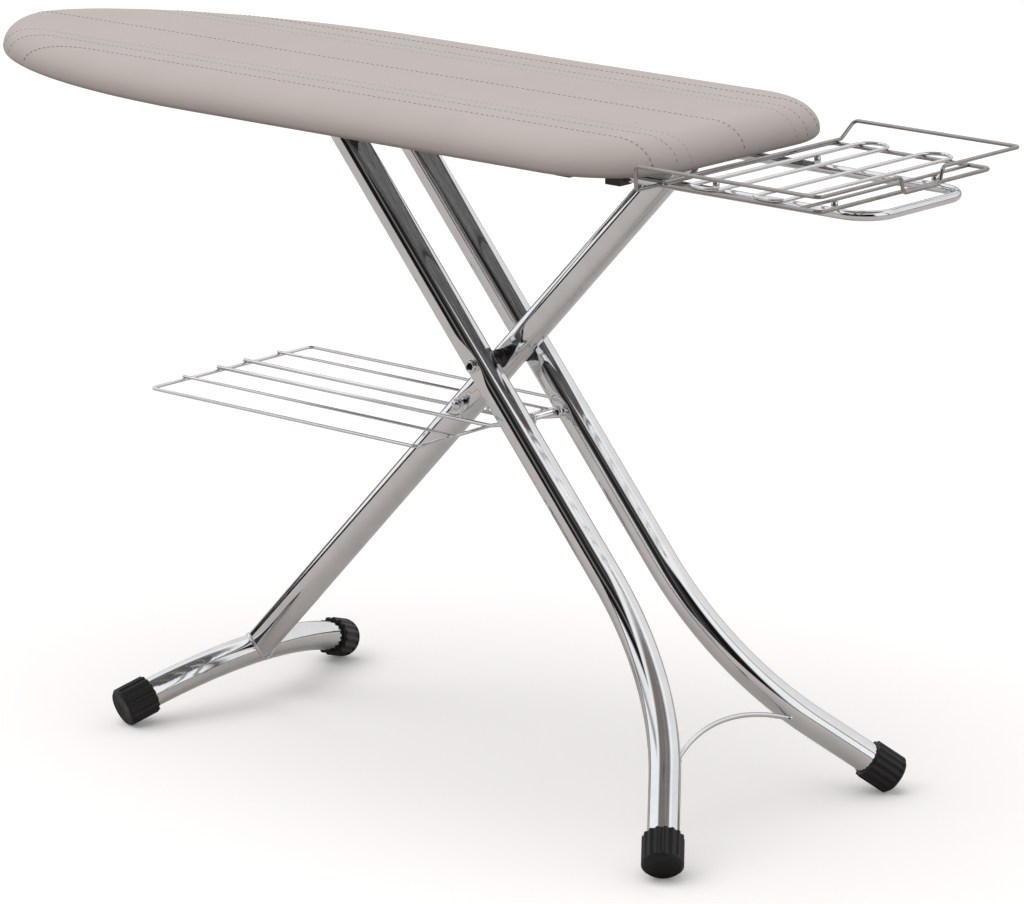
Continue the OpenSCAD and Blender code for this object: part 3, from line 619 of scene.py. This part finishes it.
# how far the arch and the twin legs' long bend run down the leg and out across the board
archDeep, archWide = tube["archR"] * (1 - math.cos(archHalf)), tube["archR"] * math.sin(archHalf)
bendDown, bendOut = tube["bendStart"] + tube["bendR"] * math.sin(bendAngle), tube["bendR"] * (1 - math.cos(bendAngle))
archDrop = archDeep + cap["length"] / 2 * math.sin(archHalf)
archPlace = (pivot[2] - dropOf(math.sin(archHalf) * sinFront)) / sinFront - archDrop
rearPlace = (pivot[2] - dropOf(math.cos(bendAngle) * sinRear)) / sinRear
tailStraight = ((rearPlace - tube["bendStart"] - tube["bendR"] * math.sin(bendAngle)) / math.cos(bendAngle)
                - cap["length"] / 2)

# twin legs: straight tube, one long bend outwards, straight foot end
upper = np.arange(-armLength - tube["past"], tube["bendStart"], 4.0)
turned = np.linspace(0, bendAngle, 46)
lower = np.linspace(4, tailStraight + capSeat, 14)
legS = np.r_[upper, tube["bendStart"] + tube["bendR"] * np.sin(turned), bendDown + lower * math.cos(bendAngle)]
legY = np.r_[upper * 0, tube["bendR"] * (1 - np.cos(turned)), bendOut + lower * math.sin(bendAngle)] + tube["rearY"]
flat = {"pivotDepth": 3.0, "pivotAbove": 44.0, "pivotBelow": 40.0, "axle": 86.0, "stop": 90.0,
        "smallDepth": 2.4, "smallRun": 30.0}
pivotFlat = (0.0, flat["pivotAbove"], flat["pivotBelow"], flat["pivotDepth"])
axleFlat = (flat["axle"], flat["smallRun"], flat["smallRun"], flat["smallDepth"])
sides = ((-1, "near"), (1, "far"))
for way, sideName in sides:
    side = acrossBoard * way
    path = localPlace(rearDown, rearUp, legS, legY * way)
    rings = sweptLeg(path, legS, side, rearUp, {1: [pivotFlat], -1: [pivotFlat, axleFlat]})
    rings = openTop(rings, path[0], -rearDown)
    newPiece("twin_leg_tube_" + sideName, *joinShells([tubeMesh(rings)]), "chromeTube", "twin_legs",
             "twin_leg_" + sideName)

# single leg: straight tube, coped and welded on the arched cross foot
legS = np.r_[np.arange(-armLength - tube["past"], archPlace - 12, 4.0), archPlace - 7]
path = localPlace(frontDown, frontUp, legS, legS * 0)
both = [(0.0, 64.0, 40.0, flat["pivotDepth"]), (flat["stop"], flat["smallRun"], flat["smallRun"], flat["smallDepth"]),
        (-armLength, 30.0, 34.0, 1.4)]
rings = openTop(sweptLeg(path, legS, acrossBoard, frontUp, {1: both, -1: both}), path[0], -frontDown)
newPiece("single_leg_tube", *joinShells([tubeMesh(rings)]), "chromeTube", "single_leg", "single_leg")

arc = np.linspace(-archHalf, archHalf, 61)
ends = np.linspace(4, capSeat, 9)
endS, endY = archDeep + ends * math.sin(archHalf), archWide + ends * math.cos(archHalf)
footS = np.r_[endS[::-1], tube["archR"] * (1 - np.cos(arc)), endS] + archPlace
footY = np.r_[-endY[::-1], tube["archR"] * np.sin(arc), endY]
path = localPlace(frontDown, frontUp, footS, footY)
rings = sweptLeg(path, footS, frontDown, frontUp, {})
newPiece("arched_cross_foot", *joinShells([tubeMesh(rings)]), "chromeTube", "single_leg", "cross_foot")

# weld bead round the cope: the curve where two equal tubes cross, with small even ripples
t = np.linspace(0, 2 * np.pi, 181)[:-1]
beadR = tube["r"] - 0.2
y, w = beadR * np.sin(t), beadR * np.cos(t)
s = archPlace + y ** 2 / (2 * tube["archR"]) - np.sqrt(np.clip(tube["r"] ** 2 - w ** 2, 0, None))
s = s - 0.6 + 0.35 * np.sin(t * 46)
s = np.convolve(np.r_[s[-4:], s, s[:4]], np.ones(9) / 9, "valid") + 0.2 * np.sin(t * 60)
newPiece("weld_bead", *joinShells([loopShell(localPlace(frontDown, frontUp, s, y * 1.03, w * 1.03), 1.9, 12)]),
         "chromeTube", "single_leg")


def ribShape(radius, along, angle):
    # ribs along the cap: flat-topped cosine waves on the side wall only
    sideEnd = cap["length"] - cap["bevel"] - 0.5
    onSide = ((along > 0.2) & (along < sideEnd) & (radius > cap["r"] - 0.6)).astype(float)
    wave = np.clip(0.5 + 0.9 * np.cos(angle * cap["ribs"]), 0, 1)
    return radius - onSide * cap["ribDepth"] * (1 - wave)


def rubberCap(origin, axis):
    # ribbed wall, chamfered end with a shallow dished disc, and the inside of the mouth;
    # the corner where the chamfer starts is the point that stands on the floor
    r, length, b = cap["r"], cap["length"], cap["bevel"]
    bore = tube["r"] + 0.1
    profile = [(6.0, bore), (0.4, bore), (0.0, bore + 0.4), (0.0, r - 2.9), (0.3, r - 0.5), (1.0, r - 0.1)]
    profile += [(x, r) for x in np.linspace(2, length - b - 1.0, 8)]
    profile += [(length - b * (1 - t), r - b * t) for t in np.linspace(0, 1, 4)]
    profile += [(length, r - 5.0), (length - 0.7, r - 5.8), (length - 0.8, r - 7.0), (length - 0.8, 9.0),
                (length - 1.3, 8.0), (length - 1.3, 0.4)]
    return latheShell(profile, origin, axis, sides=144, shape=ribShape)


bendEndS = bendDown + tailStraight * math.cos(bendAngle)
bendEndY = tube["rearY"] + bendOut + tailStraight * math.sin(bendAngle)
for way, sideName in sides:
    frontAxis = frontDown * math.sin(archHalf) + acrossBoard * way * math.cos(archHalf)
    mouth = localPlace(frontDown, frontUp, archDeep + archPlace, archWide * way)
    newPiece("ribbed_cap_front_" + sideName, *joinShells([rubberCap(mouth, frontAxis)]), "rubber", "single_leg",
             "foot_cap_front_" + sideName)
    rearAxis = rearDown * math.cos(bendAngle) + acrossBoard * way * math.sin(bendAngle)
    mouth = localPlace(rearDown, rearUp, bendEndS, bendEndY * way)
    newPiece("ribbed_cap_rear_" + sideName, *joinShells([rubberCap(mouth, rearAxis)]), "rubber", "twin_legs",
             "foot_cap_rear_" + sideName)

# arched brace between the twin legs, with a small weld at each end
brace = {"place": 541.0, "rise": 26.0, "r": 3.0}
at = math.asin((brace["place"] - tube["bendStart"]) / tube["bendR"])
half = tube["rearY"] + tube["bendR"] * (1 - math.cos(at)) - tube["r"] / math.cos(at)
arcR = (half ** 2 + brace["rise"] ** 2) / (2 * brace["rise"])
spread = np.linspace(-math.asin(half / arcR), math.asin(half / arcR), 60)
braceS = brace["place"] - brace["rise"] + arcR * (1 - np.cos(spread))
path = localPlace(rearDown, rearUp, braceS, arcR * np.sin(spread))
longer = np.vstack([path[0] + (path[0] - path[1]) * 0.25, path, path[-1] + (path[-1] - path[-2]) * 0.25])
shells = [wireShell(longer, brace["r"])]
blob = [(-3.4, 3.0), (-2.4, 3.7), (-1.0, 4.6), (0.4, 5.4), (1.2, 5.2), (2.0, 3.0), (2.2, 0.3)]
for end, other in ((path[0], path[1]), (path[-1], path[-2])):
    out = unit(end - other)
    shells.append(latheShell(blob, end, out, 24))
newPiece("arched_brace_rod", *joinShells(shells), "chromeWire", "twin_legs", "brace_rod")

# scissor pivot: domed black bolt, chrome nut and washer, two black bushes
outerY = tube["rearY"] + tube["r"] - flat["pivotDepth"]
dome = [(-2.0, 7.0), (0.0, 8.2), (0.5, 8.6), (1.6, 8.5), (3.0, 7.2), (4.2, 5.0), (4.9, 2.4), (5.1, 0.3)]
farHead = latheShell([(-6.0, 0.3), (-6.0, 4.0)] + dome, pivot + acrossBoard * outerY, acrossBoard, 40)
tip = latheShell([(-5.0, 0.3), (-5.0, 3.9), (6.8, 3.9), (8.2, 3.4), (9.2, 2.2), (9.6, 0.3)],
                 pivot - acrossBoard * outerY, -acrossBoard, 32)
newPiece("domed_pivot_bolt", *joinShells([farHead, tip]), "blackSteel", "twin_legs", "pivot_bolt")


def hexShape(radius, along, angle):
    # a hexagon of the given flat radius on the nut's own part of the profile
    sixth = (angle + np.pi / 6) % (np.pi / 3) - np.pi / 6
    onNut = (along > 1.5) & (radius > 6.5)
    return np.where(onNut, np.minimum(radius, 6.9 / np.cos(sixth)), radius)


nut = latheShell([(0.0, 4.1), (0.0, 8.4), (0.4, 8.8), (1.1, 8.8), (1.5, 8.5), (1.6, 7.9), (2.0, 7.9), (5.8, 7.9),
                  (6.4, 7.2), (6.9, 6.2), (6.6, 4.6), (6.0, 4.0)],
                 pivot - acrossBoard * outerY, -acrossBoard, 72, hexShape)
newPiece("pivot_hex_nut", *joinShells([nut]), "chromeTube", "twin_legs", "pivot_nut", slot="bright_steel")
for way, sideName in sides:
    inEnd, outEnd = tube["r"] - flat["pivotDepth"] + 0.2, tube["rearY"] - tube["r"] + flat["pivotDepth"] - 0.1
    profile = [(inEnd, 4.4), (inEnd, 11.0), (inEnd + 0.8, 11.8), (inEnd + 5, 11.8), (inEnd + 5.6, 10.6),
               (outEnd - 7, 10.6), (outEnd - 6.4, 12.0), (outEnd - 0.8, 12.0), (outEnd, 11.2), (outEnd, 4.4)]
    bush = latheShell(profile, pivot, acrossBoard * way, 48)
    newPiece("pivot_bush_turned_" + sideName, *joinShells([bush]), "blackPlastic", "twin_legs",
             "pivot_bush_" + sideName)
print("legs and feet made")

# shelf: frame wire, two thin and two thick wires on it, eyes of the thick wires round the axle
shelf = {"frameR": 2.2, "thinR": 1.9, "thickR": 2.5, "stub": 10.0, "thickY": 24.5, "thinY": 87.0, "axleR": 2.5,
         "hookR": 2.0, "cornerR": 8.0, "lead": 14.0}
low, high = boxOf("shelf_frame")
x0, x1, shelfY = low[0] + shelf["frameR"], high[0] - shelf["frameR"], high[1] - shelf["frameR"]
shelfZ = (low[2] + high[2]) / 2
corners = [(x1, shelfY, shelfZ), (x0, shelfY, shelfZ), (x0, -shelfY, shelfZ), (x1, -shelfY, shelfZ)]
frameLoop = loopShell(closedFillet(corners, shelf["cornerR"]), shelf["frameR"])
newPiece("shelf_frame_wire", *joinShells([frameLoop]), "chromeWire", "shelf", "shelf_frame")
axle = axisOf("shelf_axle")
shells = []
wireZ = shelfZ + shelf["frameR"] + shelf["thinR"] - 0.2
for way in (-1, 1):
    thinWire = [(x, way * shelf["thinY"], wireZ) for x in (x0 - 2, x0 + 60, x1 + shelf["stub"])]
    shells.append(wireShell(thinWire, shelf["thinR"]))
    thickZ = shelfZ + shelf["frameR"] + shelf["thickR"] - 0.2
    y = way * shelf["thickY"]
    eyeR = shelf["axleR"] + shelf["thickR"]
    toAxle = np.array([axle[0], axle[2]]) - np.array([x1 + shelf["stub"], thickZ])
    rise = math.atan2(toAxle[1], toAxle[0]) - math.asin(eyeR / np.hypot(*toAxle))
    a = np.linspace(rise + np.pi / 2 - np.pi, rise + np.pi / 2 - np.pi + np.pi * 1.72, 40)
    eye = np.stack([axle[0] + eyeR * np.cos(a), a * 0 + y, axle[2] + eyeR * np.sin(a)], -1)
    run = filletPath([(x0 - 2, y, thickZ), (x1 + shelf["stub"], y, thickZ), tuple(eye[0])], shelf["lead"])
    shells.append(wireShell(np.vstack([run[:-1], eye]), shelf["thickR"], 18))
newPiece("shelf_cross_wires", *joinShells(shells), "chromeWire", "shelf", "shelf_wires")
reach = tube["rearY"] - tube["r"] + flat["smallDepth"] + 1.0
rod = wireShell([axle - acrossBoard * reach, axle, axle + acrossBoard * reach], shelf["axleR"])
newPiece("shelf_axle_rod", *joinShells([rod]), "chromeWire", "twin_legs", "shelf_axle")

# stop pin through the single leg, and the two hooks of the shelf that rest on it
stopPin = axisOf("shelf_stop_pin")
headHigh = 3.7
pinHalf = boxOf("shelf_stop_pin")[1][1] - headHigh
head = [(0.0, 4.0), (0.0, 6.2), (0.4, 6.5), (1.2, 6.3), (2.2, 5.2), (3.1, 3.4), (3.6, 1.6), (headHigh, 0.3)]
shells = [latheShell([(-pinHalf, 0.3), (-pinHalf, 4.0), (pinHalf, 4.0), (pinHalf, 0.3)], stopPin, acrossBoard, 32)]
shells += [latheShell([(-0.5, 0.3)] + head, stopPin + acrossBoard * way * pinHalf, acrossBoard * way, 36)
           for way in (-1, 1)]
newPiece("domed_stop_pin", *joinShells(shells), "chromeTube", "single_leg", "shelf_stop_pin", slot="bright_steel")
bend = 4.0 + 0.5 + shelf["hookR"]
hookFoot = boxOf("shelf_hooks")[0][2] - 0.4
shells = []
for way in (-1, 1):
    a = np.linspace(0, np.pi / 2 + 0.75, 22)
    crook = np.stack([stopPin[0] + bend * np.cos(a), a * 0 + way * shelf["thickY"], stopPin[2] + bend * np.sin(a)], -1)
    start = [stopPin[0] + bend, way * shelf["thickY"], hookFoot]
    shells.append(wireShell(np.vstack([[start], crook]), shelf["hookR"], 16))
newPiece("shelf_rest_hooks", *joinShells(shells), "chromeWire", "shelf", "shelf_hooks")
print("shelf made")

# iron rest: support tube with four posts, wire frame, hairpin wires and raised rail
rest = {"pairs": (62.0, 153.0), "tubeR": 6.0, "tubeDrop": 15.0, "cornerR": 40.0, "frameR": 2.5, "frameCorner": 9.0,
        "crossR": 2.0, "crossInset": 30.0, "wireR": 2.3, "pitch": 41.0, "past": 12.0, "railBend": 7.0}
low, high = boxOf("rest_support")
tubeZ = boxOf("rest_frame")[0][2] + rest["frameR"] - rest["tubeDrop"]
armY, endX, armX = high[1] - rest["tubeR"], high[0] - rest["tubeR"], low[0]
path = filletPath([(armX, armY, tubeZ), (endX, armY, tubeZ), (endX, -armY, tubeZ), (armX, -armY, tubeZ)],
                  rest["cornerR"])
shells = [wireShell(path, rest["tubeR"], 32)]
low, high = boxOf("rest_frame")
restX0, restX1, restY = low[0] + rest["frameR"], high[0] - rest["frameR"], high[1] - rest["frameR"]
restZ = (low[2] + high[2]) / 2
crossPlaces = (restX0 + rest["crossInset"], restX1 - rest["crossInset"])
rise = restZ - tubeZ
post = [(-3.0, 0.3), (-3.0, 4.0), (rise - 2.4, 4.0), (rise - 1.8, 3.4), (rise - 1.8, 0.3)]
shells += [latheShell(post, (x, way * armY, tubeZ), (0, 0, 1), 28) for x in crossPlaces for way in (-1, 1)]
newPiece("rest_support_tube", *joinShells(shells), "chromeTube", "iron_rest", "rest_support")
corners = [(restX1, restY, restZ), (restX0, restY, restZ), (restX0, -restY, restZ), (restX1, -restY, restZ)]
shells = [loopShell(closedFillet(corners, rest["frameCorner"]), rest["frameR"])]
shells += [wireShell([(x, -restY, restZ), (x, 0, restZ), (x, restY, restZ)], rest["crossR"]) for x in crossPlaces]
# the frame wire gets the darker tint, a painted reflection
newPiece("rest_frame_wire", *joinShells(shells), "darkWire", "iron_rest", "rest_frame")
overZ = restZ + 2 * rest["wireR"] + 0.1
shells = []
for place in rest["pairs"]:
    half = rest["pitch"] / 2
    x = restX0 + place
    a = np.linspace(0, np.pi, 30)
    farEnd = np.stack([x + half * np.cos(a), restY + rest["past"] - half + half * np.sin(a), a * 0 + overZ], -1)
    nearEnd = np.stack([x - half * np.cos(a), -restY - 1.0 + 8.0 - 8.0 * np.sin(a), a * 0 + overZ], -1)
    shells.append(loopShell(np.vstack([farEnd, nearEnd]), rest["wireR"], 16))
newPiece("rest_racetrack_wires", *joinShells(shells), "chromeWire", "iron_rest", "rest_wires")
low, high = boxOf("rest_rail")
railY, railX, railZ = high[1] - rest["wireR"], high[0] - rest["wireR"], high[2] - rest["wireR"]
hookX = low[0] + rest["wireR"]
underZ = restZ - 2 * rest["wireR"] - 0.6
startX = restX0 + 9
path = filletPath([(startX, -restY - 2, overZ), (startX, restY + 6, overZ), (startX + 3, railY, railZ),
                   (railX, railY, railZ), (railX, 40, railZ), (railX, 34, overZ), (railX, -34, overZ),
                   (railX, -40, railZ), (railX, -railY, railZ), (hookX + 4, -railY, railZ),
                   (hookX, -railY + 6, underZ), (hookX, 115, underZ)], rest["railBend"])
# the rail gets the darker tint, a painted reflection
newPiece("rest_raised_rail", *joinShells([wireShell(path, rest["wireR"], 16)]), "darkWire", "iron_rest", "rest_rail")
print("iron rest made")

# the pressed panel keeps its steam holes; its border is drawn in under the rounded cover
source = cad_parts["board_panel"].data
points = np.empty(len(source.vertices) * 3)
source.vertices.foreach_get("co", points)
points = points.reshape(-1, 3) / mm
triangles = np.empty(len(source.loops), dtype=np.int32)
source.loops.foreach_get("vertex_index", triangles)
panel = {"border": 5.0, "drawnIn": 17.5, "reach": 3.0}
border = boardRings([panel["border"]], [0.0])[0][:, :2]
drawnIn = boardRings([panel["drawnIn"]], [0.0])[0][:, :2]
gap = np.linalg.norm(points[:, None, :2] - border[None], axis=2)
nearest = gap.argmin(1)
onBorder = gap.min(1) < panel["reach"]
points[onBorder, :2] = drawnIn[nearest[onBorder]]
panelPiece = newPiece("vented_panel", points, triangles.reshape(-1, 3).tolist(), "zincSheet", "board", "board_panel",
                      smooth=False)
mergeDoubles(panelPiece)

# finishes of the parts that keep their modelled shape
kept = {"zincSheet": ["slide_rail_near", "slide_rail_far", "stiffener_front", "stiffener_middle", "hinge_bracket",
                      "latch_lugs"],
        "steel": ["hinge_pin", "panel_rivets", "latch_comb", "latch_rod", "release_lever", "latch_spring",
                  "pivot_sleeve", "slide_bar"],
        "blackPlastic": ["rest_guides", "lever_grip", "hinge_bush"],
        "whitePlastic": ["slide_bush_near", "slide_bush_far"]}
for finishName, nodeNames in kept.items():
    for nodeName in nodeNames:
        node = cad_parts[nodeName]
        node.data.materials.clear()
        node.data.materials.append(finishes[finishName])
print("kept parts finished")

# floor, light and camera
floorMesh = bpy.data.meshes.new("studio_floor")
floorMesh.from_pydata([(-16, -16, 0), (16, -16, 0), (16, 26, 0), (-16, 26, 0)], [], [(0, 1, 2, 3)])
floor = bpy.data.objects.new("studio_floor", floorMesh)
bpy.context.scene.collection.objects.link(floor)
floorFinish, tree, shader = newMaterial("matt_white_floor", {"Roughness": 0.9, "Specular IOR Level": 0.1,
                                                             "Emission Color": (1, 1, 1, 1)})
# the floor is lit a little past white where it is seen, and gives a warm grey to reflections
# and a darker one to bounce light
floorRay = addNode(tree, "ShaderNodeLightPath")
seenFloor = floorRay.outputs["Is Camera Ray"]
unseen = addNode(tree, "ShaderNodeMix", {"data_type": "RGBA", 6: "#c6bfba", 7: "#7d7873"},
                 {0: floorRay.outputs["Is Diffuse Ray"]})
tone = addNode(tree, "ShaderNodeMix", {"data_type": "RGBA", 7: "#fffcfa"}, {0: seenFloor, 6: unseen.outputs[2]})
tree.links.new(tone.outputs[2], shader.inputs["Base Color"])
glow = addNode(tree, "ShaderNodeMath", {"operation": "MULTIPLY", 1: 0.1}, {0: seenFloor})
tree.links.new(glow.outputs["Value"], shader.inputs["Emission Strength"])
floorMesh.materials.append(floorFinish)

world = bpy.data.worlds.new("studio_surround")
bpy.context.scene.world = world
world.use_nodes = True
tree = world.node_tree
tree.nodes.clear()
output = addNode(tree, "ShaderNodeOutputWorld")
place = addNode(tree, "ShaderNodeTexCoord").outputs["Generated"]
# reflections see a white room whose front is open to a dark hall: bands by the angle round the room,
# counted from the front at azimuth 40 degrees
room = {"frontAzimuth": 40.3, "frontBands": [
    (0.00, "#e6e4e3"), (0.10, "#ffffff"), (0.20, "#ffffff"), (0.225, "#8b8886"), (0.25, "#f4f3f2"), (0.30, "#ffffff"),
    (0.325, "#100f0f"), (0.37, "#1b1a1a"), (0.385, "#8d8987"), (0.40, "#1d1c1c"), (0.45, "#2b2a29"), (0.462, "#6e6a68"),
    (0.475, "#232222"), (0.50, "#3d3b3a"), (0.515, "#0d0d0d"), (0.575, "#1d1c1b"), (0.60, "#ffffff"), (0.69, "#ffffff"),
    (0.703, "#3a3836"), (0.72, "#f2f1f0"), (1.00, "#e6e4e3")],
    "skirting": 0.05, "skirtingTone": "#1b1a1a", "cove": (0.66, 0.74, "#ffffff"), "ceiling": (0.80, 0.90, "#7d7773")}
front = math.radians(room["frontAzimuth"])
ahead3, right3 = (math.sin(front), -math.cos(front), 0.0), (math.cos(front), math.sin(front), 0.0)
parts = [addNode(tree, "ShaderNodeVectorMath", {"operation": "DOT_PRODUCT", 1: way}, {0: place}).outputs["Value"]
         for way in (right3, ahead3)]
angle = addNode(tree, "ShaderNodeMath", {"operation": "ARCTAN2"}, {0: parts[0], 1: parts[1]})
share = addNode(tree, "ShaderNodeMapRange", {"From Min": -math.pi, "From Max": math.pi},
                {"Value": angle.outputs["Value"]})
bands = addNode(tree, "ShaderNodeValToRGB", {"stops": room["frontBands"]}, {"Fac": share.outputs["Result"]})
axes = addNode(tree, "ShaderNodeSeparateXYZ", links={"Vector": place})


def overTone(below, lowHeight, highHeight, above):
    # blends the tone below into the one above between two heights of the mirrored direction
    fade = addNode(tree, "ShaderNodeMapRange", {"interpolation_type": "SMOOTHSTEP", "From Min": lowHeight,
                                                "From Max": highHeight}, {"Value": axes.outputs["Z"]})
    mix = addNode(tree, "ShaderNodeMix", {"data_type": "RGBA", 7: above}, {0: fade.outputs["Result"], 6: below})
    return mix.outputs[2]


# upwards: a dark skirting, the banded wall, a white cove and a grey ceiling
skirting = addNode(tree, "ShaderNodeMath", {"operation": "GREATER_THAN", 1: room["skirting"]}, {0: axes.outputs["Z"]})
wallTone = addNode(tree, "ShaderNodeMix", {"data_type": "RGBA", 6: room["skirtingTone"]},
                   {0: skirting.outputs["Value"], 7: bands.outputs["Color"]})
roomTone = overTone(overTone(wallTone.outputs[2], *room["cove"]), *room["ceiling"])
mirrorRoom = addNode(tree, "ShaderNodeBackground", {"Strength": 1.05}, {"Color": roomTone})
plainRoom = addNode(tree, "ShaderNodeBackground", {"Color": (1, 1, 1, 1), "Strength": 0.62})
ray = addNode(tree, "ShaderNodeLightPath")
sky = addNode(tree, "ShaderNodeMixShader",
              links={0: ray.outputs["Is Glossy Ray"], 1: plainRoom.outputs[0], 2: mirrorRoom.outputs[0]})
white = addNode(tree, "ShaderNodeBackground", {"Color": (1, 1, 1, 1), "Strength": 1.0})
seen = addNode(tree, "ShaderNodeMixShader",
               links={0: ray.outputs["Is Camera Ray"], 1: sky.outputs[0], 2: white.outputs[0]})
tree.links.new(seen.outputs[0], output.inputs["Surface"])

# one broad soft lamp from above and a little to the front left
sun = {"energy": 1.35, "spread": 70, "towards": (0.28, 0.22, -1.0)}
lampLight = bpy.data.lights.new("broad_soft_lamp", "SUN")
lampLight.energy = sun["energy"]
lampLight.angle = math.radians(sun["spread"])
lamp = bpy.data.objects.new("broad_soft_lamp", lampLight)
lamp.rotation_euler = Vector(sun["towards"]).to_track_quat("-Z", "Y").to_euler()
lamp.visible_glossy = False
bpy.context.scene.collection.objects.link(lamp)

view = {"place": (4.1169, -4.7230, 2.0144), "azimuth": 40.30, "elevation": 14.65, "roll": 0.27, "lens": 185.6,
        "clipEnd": 60}
camera = bpy.data.objects.new("catalogue_camera", bpy.data.cameras.new("catalogue_camera"))
az, el = math.radians(view["azimuth"]), math.radians(view["elevation"])
ahead = Vector((-math.sin(az) * math.cos(el), math.cos(az) * math.cos(el), -math.sin(el)))
camera.location = view["place"]
turnTo = ahead.to_track_quat("-Z", "Y").to_matrix().to_4x4()
camera.rotation_euler = (turnTo @ Matrix.Rotation(math.radians(view["roll"]), 4, "Z")).to_euler()
camera.data.lens = view["lens"]
camera.data.clip_end = view["clipEnd"]
bpy.context.scene.collection.objects.link(camera)
bpy.context.scene.camera = camera
bpy.context.scene.view_settings.view_transform = "Standard"
print("light and camera set")
